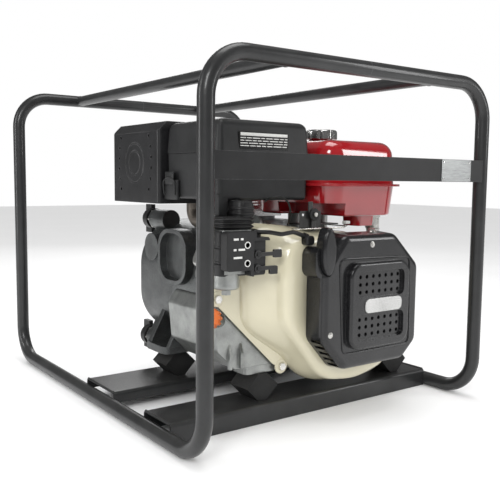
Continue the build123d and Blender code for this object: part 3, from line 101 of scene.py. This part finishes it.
def finish(name, color, rough, metal=0.0, coat=0.0, vary=0.18, patch=22.0, grain=900.0, bump=0.12,
           depth=0.0002, edge=0.0008, wear=0.0, worn=(0.45, 0.45, 0.45), spread=0.10, dust=0.0,
           stretch=(1, 1, 1), sheen=0.0, coarse=0.0):
    """A surface with colour patches, fine grain, rounded and worn edges, and a little dust."""
    material, tree, shader, add = node_tree(name)
    link = tree.links.new
    shader.inputs["Metallic"].default_value = metal
    shader.inputs["Coat Weight"].default_value = coat
    shader.inputs["Coat Roughness"].default_value = 0.08
    shader.inputs["Sheen Weight"].default_value = sheen
    if max(color) < 0.03:
        shader.inputs["Specular IOR Level"].default_value = 0.36
    place = add("ShaderNodeTexCoord")
    mapping = add("ShaderNodeMapping")
    mapping.inputs["Scale"].default_value = stretch
    link(place.outputs["Object"], mapping.inputs["Vector"])
    clouds = add("ShaderNodeTexNoise", Scale=patch, Detail=5.0, Roughness=0.6)
    fine = add("ShaderNodeTexNoise", Scale=grain, Detail=3.0, Roughness=0.55)
    link(mapping.outputs[0], clouds.inputs["Vector"])
    link(mapping.outputs[0], fine.inputs["Vector"])
    dark = tuple(c * (1 - vary) for c in color)
    light = tuple(min(1.0, c * (1 + vary) + 0.004) for c in color)
    tone = add("ShaderNodeMapRange", **{"From Min": 0.3, "From Max": 0.7})
    link(clouds.outputs["Fac"], tone.inputs["Value"])
    base = blend_colors(tree, add, tone.outputs[0], dark, light)
    bevel = add("ShaderNodeBevel", samples=4, Radius=edge)
    geometry = add("ShaderNodeNewGeometry")
    if wear > 0:
        sharp = add("ShaderNodeVectorMath", operation="DOT_PRODUCT")
        link(bevel.outputs[0], sharp.inputs[0])
        link(geometry.outputs["Normal"], sharp.inputs[1])
        rim = add("ShaderNodeMapRange", **{"From Min": 0.985, "From Max": 0.90, "To Min": 0.0, "To Max": wear})
        link(sharp.outputs["Value"], rim.inputs["Value"])
        rubbed = add("ShaderNodeMath", operation="MULTIPLY")
        link(rim.outputs[0], rubbed.inputs[0])
        link(tone.outputs[0], rubbed.inputs[1])
        base = blend_colors(tree, add, rubbed.outputs[0], base, worn)
    if dust > 0:
        split = add("ShaderNodeSeparateXYZ")
        link(geometry.outputs["Normal"], split.inputs[0])
        upward = add("ShaderNodeMapRange", **{"From Min": 0.35, "From Max": 1.0, "To Min": 0.0, "To Max": dust})
        link(split.outputs[2], upward.inputs["Value"])
        patchy = add("ShaderNodeMath", operation="MULTIPLY")
        link(upward.outputs[0], patchy.inputs[0])
        link(clouds.outputs["Fac"], patchy.inputs[1])
        base = blend_colors(tree, add, patchy.outputs[0], base, (0.42, 0.40, 0.37))
    link(base, shader.inputs["Base Color"])
    gloss = add("ShaderNodeMapRange", **{"From Min": 0.25, "From Max": 0.75, "To Min": max(0.03, rough - spread),
                                         "To Max": min(1.0, rough + spread)})
    link(fine.outputs["Fac"], gloss.inputs["Value"])
    link(gloss.outputs[0], shader.inputs["Roughness"])
    relief = fine.outputs["Fac"]
    if coarse > 0:
        lumps = add("ShaderNodeTexVoronoi", Scale=coarse)
        link(mapping.outputs[0], lumps.inputs["Vector"])
        both = add("ShaderNodeMath", operation="ADD")
        link(fine.outputs["Fac"], both.inputs[0])
        link(lumps.outputs["Distance"], both.inputs[1])
        relief = both.outputs[0]
    ripple = add("ShaderNodeBump", Strength=bump, Distance=depth)
    link(relief, ripple.inputs["Height"])
    link(bevel.outputs[0], ripple.inputs["Normal"])
    link(ripple.outputs[0], shader.inputs["Normal"])
    return material


MATS = {
    "frame_black": finish("frame_paint", (0.016, 0.0165, 0.017), 0.36, coat=0.25, vary=0.2, grain=700, bump=0.25,
                          wear=0.5, dust=0.05),
    "bar_black": finish("bar_paint", (0.009, 0.009, 0.0095), 0.42, vary=0.2, grain=800, bump=0.2, wear=0.4),
    "plate_aluminium": finish("plate_metal", (0.36, 0.37, 0.37), 0.34, metal=0.9, vary=0.25, patch=60,
                              stretch=(1, 1, 12), bump=0.1),
    "rivet_steel": finish("rivet_metal", (0.66, 0.66, 0.66), 0.22, metal=1.0, bump=0.05),
    "mount_rubber": finish("mount_rubber", (0.012, 0.012, 0.012), 0.62, vary=0.3, bump=0.35, dust=0.10, edge=0.0015),
    "zinc_steel": finish("zinc", (0.66, 0.65, 0.62), 0.26, metal=1.0, vary=0.2, patch=120, bump=0.12),
    "cast_aluminium": finish("cast_metal", (0.33, 0.34, 0.33), 0.38, metal=0.9, vary=0.22, patch=35, grain=650,
                             bump=0.55, depth=0.0004, coarse=420, edge=0.0015),
    "bearing_steel": finish("ground_steel", (0.5, 0.5, 0.52), 0.22, metal=1.0),
    "cover_steel": finish("pressed_metal", (0.50, 0.50, 0.48), 0.32, metal=0.95, edge=0.002),
    "piston_aluminium": finish("turned_metal", (0.62, 0.62, 0.61), 0.25, metal=1.0),
    "flywheel_iron": finish("iron", (0.12, 0.12, 0.12), 0.5, metal=0.8, coarse=300, bump=0.3),
    "shroud_cream": finish("cream_paint", (0.60, 0.56, 0.41), 0.20, coat=0.7, vary=0.05, patch=9, grain=260,
                           bump=0.03, wear=0.12, worn=(0.30, 0.28, 0.22), spread=0.05, dust=0.04, edge=0.002),
    "recoil_black": finish("recoil_plastic", (0.008, 0.008, 0.009), 0.27, coat=0.35, vary=0.25, grain=1100, bump=0.16,
                           edge=0.0015, wear=0.15, worn=(0.10, 0.10, 0.10)),
    "badge_silver": finish("badge_paint", (0.50, 0.50, 0.49), 0.25, metal=0.7, coat=0.6, bump=0.05),
    "reel_plastic": finish("reel_plastic", (0.05, 0.05, 0.05), 0.5),
    "grip_plastic": finish("grip_plastic", (0.011, 0.011, 0.012), 0.24, coat=0.3, bump=0.1, edge=0.003),
    "tank_red": finish("red_paint", (0.32, 0.006, 0.010), 0.13, coat=1.0, vary=0.10, patch=8, grain=240, bump=0.02,
                       spread=0.04, edge=0.002),
    "cap_plastic": finish("cap_plastic", (0.012, 0.012, 0.012), 0.38, vary=0.25, bump=0.25, edge=0.0015),
    "cap_chrome": finish("cap_metal", (0.62, 0.62, 0.61), 0.16, metal=1.0, vary=0.12, bump=0.05, edge=0.0015),
    "air_plastic": finish("air_box_plastic", (0.014, 0.0145, 0.015), 0.44, vary=0.18, grain=1500, bump=0.4,
                          edge=0.0025, dust=0.06),
    "filter_paper": finish("filter_paper", (0.7, 0.65, 0.45), 0.9),
    "elbow_rubber": finish("boot_rubber", (0.012, 0.012, 0.0125), 0.40, vary=0.3, bump=0.25, edge=0.0012, dust=0.06),
    "control_plastic": finish("control_plastic", (0.013, 0.013, 0.0135), 0.45, vary=0.2, grain=1500, bump=0.4,
                              edge=0.0015),
    "lever_steel": finish("lever_paint", (0.02, 0.02, 0.02), 0.35, wear=0.5, bump=0.1),
    "guard_black": finish("guard_paint", (0.010, 0.010, 0.011), 0.34, coat=0.1, vary=0.3, grain=900, bump=0.25,
                          edge=0.0015, wear=0.3),
    "muffler_steel": finish("muffler_metal", (0.16, 0.14, 0.12), 0.48, metal=0.9, vary=0.35, patch=30, bump=0.2),
    "lead_rubber": finish("lead_rubber", (0.010, 0.010, 0.010), 0.38, bump=0.1, edge=0.0015),
    "bracket_black": finish("bracket_metal", (0.05, 0.05, 0.048), 0.33, metal=0.6, wear=0.5, bump=0.1),
    "pump_grey": finish("pump_casting", (0.115, 0.12, 0.12), 0.34, metal=0.85, vary=0.25, patch=28, grain=600,
                        bump=0.6, depth=0.0005, coarse=360, edge=0.002),
    "port_aluminium": finish("port_metal", (0.52, 0.52, 0.52), 0.26, metal=1.0, vary=0.15, stretch=(1, 1, 6)),
    "impeller_iron": finish("impeller_iron", (0.2, 0.2, 0.2), 0.5, metal=0.7, coarse=300),
    "seal_rubber": finish("seal_rubber", (0.03, 0.03, 0.03), 0.5),
    "oil_cap_orange": finish("orange_plastic", (0.62, 0.13, 0.015), 0.36, vary=0.12, bump=0.15, edge=0.0015),
}
WHITE_PRINT = finish("white_print", (0.62, 0.62, 0.60), 0.45, vary=0.06, bump=0.05)
LABEL_DARK = finish("label_film", (0.012, 0.012, 0.012), 0.22, coat=0.4, bump=0.03)
ROPE = finish("rope_fibre", (0.55, 0.53, 0.48), 0.8, vary=0.25, patch=400, bump=0.5)

slots = {row["node"]: row["material_slot"] for row in frame["record"]["subparts"]}
for node, item in frame["nodes"].items():
    item.data.materials.clear()
    item.data.materials.append(MATS[slots[node]])


# -------------------------------------------------------------------- helpers
def piece(name, mesh, material, body=ROOT, replaces=(), smooth=30):
    """Make an object from a bmesh, shade it and let it ride on a body."""
    data = bpy.data.meshes.new(name)
    bmesh.ops.recalc_face_normals(mesh, faces=mesh.faces)
    mesh.to_mesh(data)
    mesh.free()
    item = bpy.data.objects.new(name, data)
    bpy.context.scene.collection.objects.link(item)
    data.materials.append(material)
    if smooth:
        data.shade_smooth()
        with bpy.context.temp_override(object=item, active_object=item, selected_objects=[item],
                                       selected_editable_objects=[item]):
            bpy.ops.object.shade_smooth_by_angle(angle=math.radians(smooth))
    if body:
        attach(item, body)
    if replaces:
        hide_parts(*replaces)
    return item


def vec(x, y, z):
    """A point given in millimetres."""
    return Vector((x, y, z)) * MM


def basis(axis, up=(0, 0, 1)):
    """Rotation whose local Z is this axis."""
    z = Vector(axis).normalized()
    x = Vector(up).cross(z)
    if x.length < 1e-4:
        x = Vector((1, 0, 0)).cross(z)
    x.normalize()
    return Matrix((x, z.cross(x), z)).transposed()


def loft_rings(mesh, rings, close_ends=(True, True)):
    """Skin a list of closed point loops, all of the same length."""
    rows = [[mesh.verts.new(point) for point in ring] for ring in rings]
    count = len(rings[0])
    for low, high in zip(rows, rows[1:]):
        for i in range(count):
            j = (i + 1) % count
            mesh.faces.new((low[i], low[j], high[j], high[i]))
    if close_ends[0]:
        mesh.faces.new(rows[0])
    if close_ends[1]:
        mesh.faces.new(rows[-1][::-1])
    return rows


def turned(mesh, profile, origin, axis, count=32, close_ends=(True, True)):
    """Turn a profile of (radius, height) points in millimetres about an axis."""
    turn = basis(axis)
    rings = []
    for radius, height in profile:
        ring = []
        for i in range(count):
            angle = 2 * math.pi * i / count
            local = Vector((radius * math.cos(angle), radius * math.sin(angle), height)) * MM
            ring.append(turn @ local + origin)
        rings.append(ring)
    loft_rings(mesh, rings, close_ends)


def hex_bolt(mesh, origin, axis, size=7.0, washer=True):
    """Hexagon flange bolt head with a chamfered top and a washer."""
    high = size * 0.62
    if washer:
        turned(mesh, [(size * 1.35, 0), (size * 1.38, 0.5), (size * 1.30, 1.3), (size * 0.9, 1.5)], origin, axis, 28)
    rings = []
    turn = basis(axis)
    for scale, height in ((1.0, 1.2), (1.0, high), (0.90, high + 0.9), (0.62, high + 1.0), (0.55, high + 0.6)):
        ring = []
        for i in range(24):
            angle = 2 * math.pi * i / 24
            flat = math.cos(math.pi / 6) / math.cos((angle + math.pi / 6) % (math.pi / 3) - math.pi / 6)
            reach = size * (flat if scale > 0.95 else min(flat, 0.93)) * scale
            ring.append(turn @ (Vector((reach * math.cos(angle), reach * math.sin(angle), height)) * MM) + origin)
        rings.append(ring)
    loft_rings(mesh, rings)


def rounded_box(mesh, low, high, radius=2.0):
    """Box between two corners in millimetres, with rounded edges."""
    part = bmesh.new()
    bmesh.ops.create_cube(part, size=1.0)
    size = Vector(high) - Vector(low)
    for v in part.verts:
        v.co = Vector((v.co.x * size.x, v.co.y * size.y, v.co.z * size.z)) + (Vector(low) + Vector(high)) / 2
        v.co *= MM
    bmesh.ops.bevel(part, geom=part.edges[:], offset=radius * MM, segments=3, affect="EDGES", profile=0.5)
    merge(mesh, part)


def merge(mesh, part):
    """Copy one bmesh into another and free it."""
    data = bpy.data.meshes.new("scratch")
    part.to_mesh(data)
    part.free()
    mesh.from_mesh(data)
    bpy.data.meshes.remove(data)


def tube(mesh, points, radius, sides=12, closed=False, smooth_steps=8):
    """Round tube through points in millimetres, on a smooth line."""
    path = smooth_path([Vector(p) for p in points], closed, smooth_steps)
    rings = []
    last = None
    total = len(path)
    for i, point in enumerate(path):
        before = path[(i - 1) % total] if closed or i else point
        after = path[(i + 1) % total] if closed or i < total - 1 else point
        along = (after - before).normalized()
        if last is None:
            side = along.orthogonal().normalized()
        else:
            side = (last - along * last.dot(along)).normalized()
        last = side
        other = along.cross(side)
        ring = []
        for k in range(sides):
            angle = 2 * math.pi * k / sides
            ring.append((point + (side * math.cos(angle) + other * math.sin(angle)) * radius) * MM)
        rings.append(ring)
    if closed:
        rings.append(rings[0])
    rows = loft_rings(mesh, rings, (not closed, not closed))
    if closed:
        bmesh.ops.remove_doubles(mesh, verts=rows[0] + rows[-1], dist=1e-6)


def smooth_path(points, closed, steps):
    """Catmull-Rom line through the points."""
    if steps <= 1:
        return points
    total = len(points)
    path = []
    spans = total if closed else total - 1
    for i in range(spans):
        if closed:
            p0, p1, p2, p3 = (points[(i + k - 1) % total] for k in range(4))
        else:
            p0, p1, p2, p3 = (points[min(max(i + k - 1, 0), total - 1)] for k in range(4))
        for s in range(steps):
            t = s / steps
            path.append(0.5 * ((2 * p1) + (p2 - p0) * t + (2 * p0 - 5 * p1 + 4 * p2 - p3) * t * t
                               + (3 * p1 - p0 - 3 * p2 + p3) * t ** 3))
    if not closed:
        path.append(points[-1])
    return path


def rounded_loop(points, radius, steps=6):
    """Corner-rounded closed polygon in a plane, as (u, v) pairs."""
    loop = []
    total = len(points)
    for i in range(total):
        before, here, after = (Vector(points[(i + k) % total]) for k in (-1, 0, 1))
        into = (before - here).normalized()
        out = (after - here).normalized()
        half = math.acos(max(-1.0, min(1.0, into.dot(out)))) / 2
        reach = min(radius / math.tan(half), (before - here).length * 0.45, (after - here).length * 0.45)
        start, end = here + into * reach, here + out * reach
        for s in range(steps + 1):
            t = s / steps
            loop.append(tuple(start * (1 - t) ** 2 + here * 2 * t * (1 - t) + end * t * t))
    return loop


def reach_by_angle(points, center, count, soften):
    """Distance from the centre to a closed polygon at even angles, softened at the corners."""
    values = []
    total = len(points)
    for k in range(count):
        angle = 2 * math.pi * k / count
        dx, dz = math.cos(angle), math.sin(angle)
        best = 0.0
        for i in range(total):
            ax, az = points[i][0] - center[0], points[i][1] - center[1]
            bx, bz = points[(i + 1) % total][0] - center[0], points[(i + 1) % total][1] - center[1]
            cross = dx * (bz - az) - dz * (bx - ax)
            if abs(cross) < 1e-9:
                continue
            t = (ax * (bz - az) - az * (bx - ax)) / cross
            u = (ax * dz - az * dx) / cross
            if t > 0 and -1e-6 <= u <= 1 + 1e-6:
                best = max(best, t)
        values.append(best)
    if soften:
        smooth = []
        for k in range(count):
            total_weight = 0.0
            total_value = 0.0
            for s in range(-3 * soften, 3 * soften + 1):
                weight = math.exp(-0.5 * (s / soften) ** 2)
                total_weight += weight
                total_value += weight * values[(k + s) % count]
            smooth.append(total_value / total_weight)
        values = smooth
    return values


# ----------------------------------------------------------------- fan shroud
SHROUD_LOOP = [
    (-154, 168), (-154, 262), (-140, 338), (5, 322), (84, 316), (165, 268), (206, 200),
    (196, 120), (140, 64), (62, 48), (-10, 56), (-42, 76), (-62, 104),
]
SHROUD_TOP = [
    (-104, 176), (-104, 262), (-92, 312), (5, 313), (82, 306), (156, 262), (196, 200),
    (187, 126), (134, 73), (62, 57), (-4, 65), (-28, 80), (-46, 104),
]
WING_LOOP = [(-50, 80), (-84, 94), (-205, 212), (-205, 266), (-156, 276), (-140, 338), (-60, 331)]
CENTER = (15.0, 205.0)
COUNT = 180
MOUTH_R = 105


def make_shroud():
    """Pressed sheet cowl: a flat flange, a rolled shoulder, sloping sides and a round mouth."""
    outer = reach_by_angle(SHROUD_LOOP, CENTER, COUNT, 3)
    inner = reach_by_angle(SHROUD_TOP, CENTER, COUNT, 3)
    around = [2 * math.pi * i / 90 for i in range(90)]
    mouth = [(CRANK_X + MOUTH_R * math.cos(a), CRANK_Z + MOUTH_R * math.sin(a)) for a in around]
    rim = reach_by_angle(mouth, CENTER, COUNT, 0)
    stations = [(1.02, 0, -250), (1.0, 0, -258)]
    for step in range(1, 8):
        t = step / 8
        ease = 0.5 - 0.5 * math.cos(math.pi * t)
        stations.append((None, 0.25 * t + 0.75 * ease, -258 - 46 * t))
    rings = []
    for scale, mix, y in stations:
        ring = []
        for k in range(COUNT):
            angle = 2 * math.pi * k / COUNT
            if scale is None:
                reach = outer[k] * (1 - mix) + inner[k] * mix
            else:
                reach = outer[k]
            ring.append(vec(CENTER[0] + reach * math.cos(angle), y, CENTER[1] + reach * math.sin(angle)))
        rings.append(ring)
    for shrink, y in ((0.985, -307), (0.955, -310.3), (0.90, -311.6)):
        rings.append([vec(CENTER[0] + max(inner[k] * shrink, rim[k]) * math.cos(2 * math.pi * k / COUNT), y,
                          CENTER[1] + max(inner[k] * shrink, rim[k]) * math.sin(2 * math.pi * k / COUNT))
                      for k in range(COUNT)])
    rings.append([vec(CENTER[0] + rim[k] * math.cos(2 * math.pi * k / COUNT), -311.6,
                      CENTER[1] + rim[k] * math.sin(2 * math.pi * k / COUNT)) for k in range(COUNT)])
    mesh = bmesh.new()
    loft_rings(mesh, rings, (False, False))
    item = piece("shroud_shell", mesh, MATS["shroud_cream"], replaces=("fan_shroud",), smooth=50)
    skin = item.modifiers.new("sheet", "SOLIDIFY")
    skin.thickness = 1.6 * MM
    skin.offset = -1
    wing = bmesh.new()
    loop = rounded_loop(WING_LOOP, 16)
    rings = [[vec(x, y, z) for x, z in loop] for y in (-257.8, -256.4)]
    loft_rings(wing, rings)
    piece("shroud_wing", wing, MATS["shroud_cream"], smooth=40)
    ears = bmesh.new()
    for x, z in ((-199, 217), (-66, 88)):
        turned(ears, [(13, 0.1), (13, 2.2), (12, 3.0), (6.5, 3.0)], vec(x, -255.5, z), (0, -1, 0), 32)
    piece("shroud_ears", ears, MATS["shroud_cream"])


make_shroud()

# --------------------------------------------------------------- intake boot
def rounded_ring(center, half, corner, z, count=64):
    """Superellipse ring at height z, all in millimetres."""
    ring = []
    for k in range(count):
        angle = 2 * math.pi * k / count
        c, s = math.cos(angle), math.sin(angle)
        power = 2 / corner
        x = half[0] * math.copysign(abs(c) ** power, c)
        y = half[1] * math.copysign(abs(s) ** power, s)
        ring.append(vec(center[0] + x, center[1] + y, z))
    return ring


mesh = bmesh.new()
rings = []
z = 330.3
for _ in range(4):
    for grow, step in ((-3.0, 0.0), (-3.0, 1.4), (-0.6, 0.9), (0.0, 0.8), (0.0, 1.1), (-0.6, 0.8), (-3.0, 0.9)):
        z += step
        if z < 349.4:
            rings.append(rounded_ring((BOOT_X, BOOT_Y), (31 + grow, 28 + grow), 4.2, z))
rings.append(rounded_ring((BOOT_X, BOOT_Y), (27, 24), 4.2, 349.6))
loft_rings(mesh, rings)
rings = []
for grow, z in ((-2.6, 349.6), (-2.6, 352), (-0.4, 353), (0, 354.5), (-0.4, 356), (-2.6, 357), (-2.6, 360),
                (-0.4, 361), (0, 362.5), (-0.4, 364), (-2.6, 365), (-3.0, 371), (-5.0, 373.8)):
    rings.append(rounded_ring((-165.0, -270), (15 + grow * 0.5, 27 + grow), 4.2, z))
loft_rings(mesh, rings)
piece("intake_boot", mesh, MATS["elbow_rubber"], replaces=("intake_elbow",), smooth=40)

# ------------------------------------------------------ label on the air box
def plate(name, x, z, y, material, depth=0.4, corner=1.2):
    """Thin plate on a face that looks toward -Y; x and z are (low, high)."""
    mesh = bmesh.new()
    loop = rounded_loop([(x[0], z[0]), (x[1], z[0]), (x[1], z[1]), (x[0], z[1])], corner, 4)
    loft_rings(mesh, [[vec(u, yy, v) for u, v in loop] for yy in (y, y - depth)])
    return piece(name, mesh, material, smooth=25)


AIR_FACE = -262.6
plate("air_label", (-162, -62), (456, 484), AIR_FACE + 1.0, LABEL_DARK, 1.6)
mesh = bmesh.new()
rounded_box(mesh, (-160, AIR_FACE - 1.0, 477.5), (-64, AIR_FACE + 0.2, 482.5), 0.4)
for row in range(4):
    high = 473.4 - row * 4.2
    start = -160
    while start < -68:
        long = random.uniform(7, 19)
        end = min(start + long, -64)
        rounded_box(mesh, (start, AIR_FACE - 0.9, high), (end, AIR_FACE + 0.2, high + 1.5), 0.2)
        start = end + 2.2
piece("air_label_bars", mesh, WHITE_PRINT, smooth=25)

# --------------------------------------------------------------- fasteners
mesh = bmesh.new()
for x, z in ((-104, 286), (140, 300), (-60, 120), (186, 240)):
    hex_bolt(mesh, vec(x, PUMP_COVER_Y, z), (0, 1, 0), 6.5)
hex_bolt(mesh, vec(84, -318, 321), (0, -0.35, 0.94), 5.5)
piece("small_bolts", mesh, MATS["zinc_steel"])

# ------------------------------------------------------------------- threads
def helix(name, origin, axis, radius, long, pitch, slot, ridge=2.0):
    """Raised rounded thread round a hose port."""
    mesh = bmesh.new()
    turn = basis(axis)
    turns = long / pitch
    steps = int(turns * 48)
    rings = []
    for i in range(steps + 1):
        angle = 2 * math.pi * i / 48
        height = pitch * i / 48
        fade = min(1.0, i / 24, (steps - i) / 24)
        ring = []
        for dr, dh in ((-0.6, -1.9), (ridge * fade - 0.6, -0.7), (ridge * fade - 0.4, 0.0), (ridge * fade - 0.6, 0.7),
                       (-0.6, 1.9)):
            reach = radius + dr - ridge + 0.5
            local = Vector((reach * math.cos(angle), reach * math.sin(angle), height + dh)) * MM
            ring.append(turn @ local + origin)
        rings.append(ring)
    loft_rings(mesh, rings)
    return piece(name, mesh, MATS[slot], smooth=60)


THREAD_CREST = 44.0
PORT_BORE = 36.0
PORT_CORE = 41.6
FLANGE_THICK = 12.0
THREAD_PITCH = 5.5


def threaded_port(name, origin, axis, flange, long):
    """Square flange with a bored neck, and a raised thread along the neck."""
    count = 96
    turn = basis(axis)

    def circle(radius, height):
        angles = [2 * math.pi * i / count for i in range(count)]
        return [turn @ (Vector((radius * math.cos(a), radius * math.sin(a), height)) * MM) + origin for a in angles]

    def square(half, height):
        return [turn @ p + origin for p in rounded_ring((0, 0), (half, half), 7, height, count)]

    rings = [circle(PORT_BORE, 0), square(flange, 0), square(flange, FLANGE_THICK - 1),
             square(flange - 1, FLANGE_THICK), circle(PORT_CORE + 2, FLANGE_THICK),
             circle(PORT_CORE, FLANGE_THICK + 2), circle(PORT_CORE, long - 1.5),
             circle(PORT_CORE - 1.2, long), circle(PORT_BORE + 1, long), circle(PORT_BORE, long - 1),
             circle(PORT_BORE, 0)]
    mesh = bmesh.new()
    rows = loft_rings(mesh, rings, (False, False))
    bmesh.ops.remove_doubles(mesh, verts=rows[0] + rows[-1], dist=1e-6)
    piece(name + "_body", mesh, MATS["port_aluminium"], replaces=(name,), smooth=40)
    start = origin + Vector(axis) * (FLANGE_THICK + 6) * MM
    helix(name + "_thread", start, axis, THREAD_CREST + 1.1, long - FLANGE_THICK - 12, THREAD_PITCH, "port_aluminium",
          ridge=2.6)


threaded_port("suction_port", vec(CRANK_X, PUMP_COVER_Y, CRANK_Z), (0, 1, 0), 58.5, 62)
threaded_port("discharge_port", vec(76, 30, 333.2), (0, 0, 1), 51.5, 71.5)

# ---------------------------------------------------- carburettor and linkage
mesh = bmesh.new()
rings = []
for grow, z in ((-7, 258), (-2, 259), (0, 262), (0, 277), (-1.6, 278.5), (-1.6, 281), (0, 282.5), (0, 301),
                (-1.6, 302.5), (-1.6, 305), (0, 306.5), (0, 325), (-2, 328.6), (-8, 330)):
    rings.append(rounded_ring((-182, -278), (41 + grow, 26 + grow), 5, z))
loft_rings(mesh, rings)
piece("carburetor_housing", mesh, MATS["control_plastic"], smooth=35)

mesh = bmesh.new()
for x, z, wide in ((-212, 316, 9), (-199, 316, 5), (-212, 300, 5), (-203, 300, 12), (-212, 288, 16)):
    rounded_box(mesh, (x, -321.9, z), (x + wide, -320.9, z + 3.2), 0.3)
for x, z in ((-186, 308), (-186, 280)):
    turned(mesh, [(5.5, 0), (5.5, 0.9), (4.0, 0.9), (4.0, 0)], vec(x, -321, z), (0, -1, 0), 28)
piece("control_marks", mesh, WHITE_PRINT, smooth=25)

mesh = bmesh.new()
tube(mesh, [(-106, -258, 372), (-104, -270, 378), (-92, -280, 380), (-76, -281, 372), (-66, -276, 356),
            (-60, -266, 340), (-57, -258, 332)], 1.7)
piece("breather_wire", mesh, MATS["lead_rubber"])

mesh = bmesh.new()
turned(mesh, [(10.5, 0), (10.5, 2.0), (9.6, 2.8), (5, 3.0)], vec(THROTTLE_X, -288, THROTTLE_Z), (0, -1, 0), 36)
piece("throttle_disc", mesh, MATS["control_plastic"], body="throttle")
mesh = bmesh.new()
hex_bolt(mesh, vec(THROTTLE_X, -290.8, THROTTLE_Z), (0, -1, 0), 4.2, washer=False)
piece("throttle_nut", mesh, MATS["zinc_steel"], body="throttle")

mesh = bmesh.new()
rounded_box(mesh, (41, -298, 332.4), (52, -288, 338), 1.2)
piece("rod_clip", mesh, WHITE_PRINT, body="governor")

mesh = bmesh.new()
turned(mesh, [(5, 0), (10.5, 1.5), (12, 4), (12, 17), (12.8, 18), (12.8, 20), (9, 21.5)], vec(155, -252, 299),
       (0, 0, 1), 36)
piece("fuel_strainer", mesh, MATS["zinc_steel"])

# --------------------------------------------------------- air box duct latch
mesh = bmesh.new()
rounded_box(mesh, (-206, -142, 372), (-199, -98, 406), 2.4)
rounded_box(mesh, (-209, -134, 398), (-205, -106, 420), 1.6)
tube(mesh, [(-207, -138, 380), (-209, -138, 402), (-209, -120, 410), (-209, -102, 402), (-207, -102, 380)], 1.4)
piece("air_box_latch", mesh, MATS["air_plastic"])

# ------------------------------------------------------------- recoil details
mesh = bmesh.new()
bead = rounded_loop([(-12, 120), (-22, 280), (146, 277), (150, 120)], 14, 6)
tube(mesh, [(x, RECOIL_FACE_Y - 0.2, z) for x, z in bead], 1.9, closed=True, smooth_steps=1)
piece("recoil_bead", mesh, MATS["recoil_black"], smooth=60)
mesh = bmesh.new()
for x, z in ((52, 301), (-40, 156)):
    hex_bolt(mesh, vec(x, RECOIL_FACE_Y + 0.4, z), (0, -1, 0), 3.8)
piece("recoil_bolts", mesh, MATS["zinc_steel"])
mesh = bmesh.new()
tube(mesh, [(ROPE_X, y, ROPE_Z) for y in (-318, -324, -330, -336)], 2.0)
rope = piece("starter_rope", mesh, ROPE, body=None)
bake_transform(rope)

# ----------------------------------------------------------------- weld beads
mesh = bmesh.new()
for x in (-RAIL_X, RAIL_X):
    for side in (-1, 1):
        end = vec(x, side * RAIL_END_Y, RAIL_Z)
        turned(mesh, WELD_PROFILE, end, (0, side, 0), 36)
for side in (-1, 1):
    tube(mesh, [(side * CHANNEL_END_X, y, CHANNEL_TOP_Z) for y in (-268, -246, -228, -208, -188)], 2.2)
    tube(mesh, [(side * CHANNEL_END_X, y, CHANNEL_TOP_Z) for y in (-67, -42, -14, 12, 40)], 2.2)
piece("weld_beads", mesh, MATS["frame_black"], smooth=60)

# ------------------------------------------------------------------- camera
YAW = math.radians(36.23)
PITCH = math.radians(5.635)
ROLL = math.radians(0.6025)
ahead = Vector((math.sin(YAW) * math.cos(PITCH), math.cos(YAW) * math.cos(PITCH), -math.sin(PITCH)))
right = ahead.cross(Vector((0, 0, 1))).normalized()
up = right.cross(ahead)
level_right = right * math.cos(ROLL) + up * math.sin(ROLL)
level_up = -right * math.sin(ROLL) + up * math.cos(ROLL)
camera = bpy.data.objects.new("camera", bpy.data.cameras.new("camera"))
camera.data.lens = 50.87
camera.data.sensor_width = 36.0
camera.matrix_world = Matrix.Translation((-0.8163, -1.1876, 0.4065)) @ Matrix(
    (level_right, level_up, -ahead)).transposed().to_4x4()
bpy.context.scene.collection.objects.link(camera)
bpy.context.scene.camera = camera

# ------------------------------------------------------------ floor and light
floor_mesh = bmesh.new()
bmesh.ops.create_grid(floor_mesh, x_segments=2, y_segments=2, size=9.0)
floor_data = bpy.data.meshes.new("floor")
floor_mesh.to_mesh(floor_data)
floor_mesh.free()
floor = bpy.data.objects.new("floor", floor_data)
floor.location = (0, 0, -0.0004)
bpy.context.scene.collection.objects.link(floor)
floor_data.materials.append(finish("floor_paint", (0.86, 0.86, 0.86), 0.55, vary=0.01, patch=2, bump=0.02))


def area_light(name, place, target, size, power, color=(1, 1, 1)):
    """Rectangular soft light aimed at a point."""
    data = bpy.data.lights.new(name, "AREA")
    data.shape = "RECTANGLE"
    data.size, data.size_y = size
    data.energy = power
    data.color = color
    light = bpy.data.objects.new(name, data)
    light.location = place
    light.rotation_mode = "QUATERNION"
    light.rotation_quaternion = (Vector(target) - Vector(place)).to_track_quat("-Z", "Y")
    bpy.context.scene.collection.objects.link(light)


area_light("key", (-1.9, -1.9, 1.7), (0, -0.1, 0.25), (0.7, 1.0), 30)
area_light("fill", (1.9, -2.0, 1.2), (0, 0, 0.25), (0.4, 1.4), 16)
area_light("top", (0.1, -0.3, 2.3), (0, 0, 0), (1.2, 1.2), 18)
area_light("strip", (-2.1, 0.7, 0.9), (0, 0, 0.3), (0.25, 1.6), 14)
area_light("back", (1.2, 2.2, 1.4), (0, 0, 0.3), (1.0, 1.0), 10)

world = bpy.data.worlds.new("studio")
world.use_nodes = True
world_tree = world.node_tree
seen = world_tree.nodes.new("ShaderNodeLightPath")
level = world_tree.nodes.new("ShaderNodeMapRange")
level.inputs["To Min"].default_value = 1.0
level.inputs["To Max"].default_value = 0.16
world_tree.links.new(seen.outputs["Is Glossy Ray"], level.inputs["Value"])
world_tree.links.new(level.outputs[0], world_tree.nodes["Background"].inputs[1])
world_tree.nodes["Background"].inputs[0].default_value = (1.0, 1.0, 1.0, 1)
bpy.context.scene.world = world
bpy.context.scene.view_settings.view_transform = "Standard"
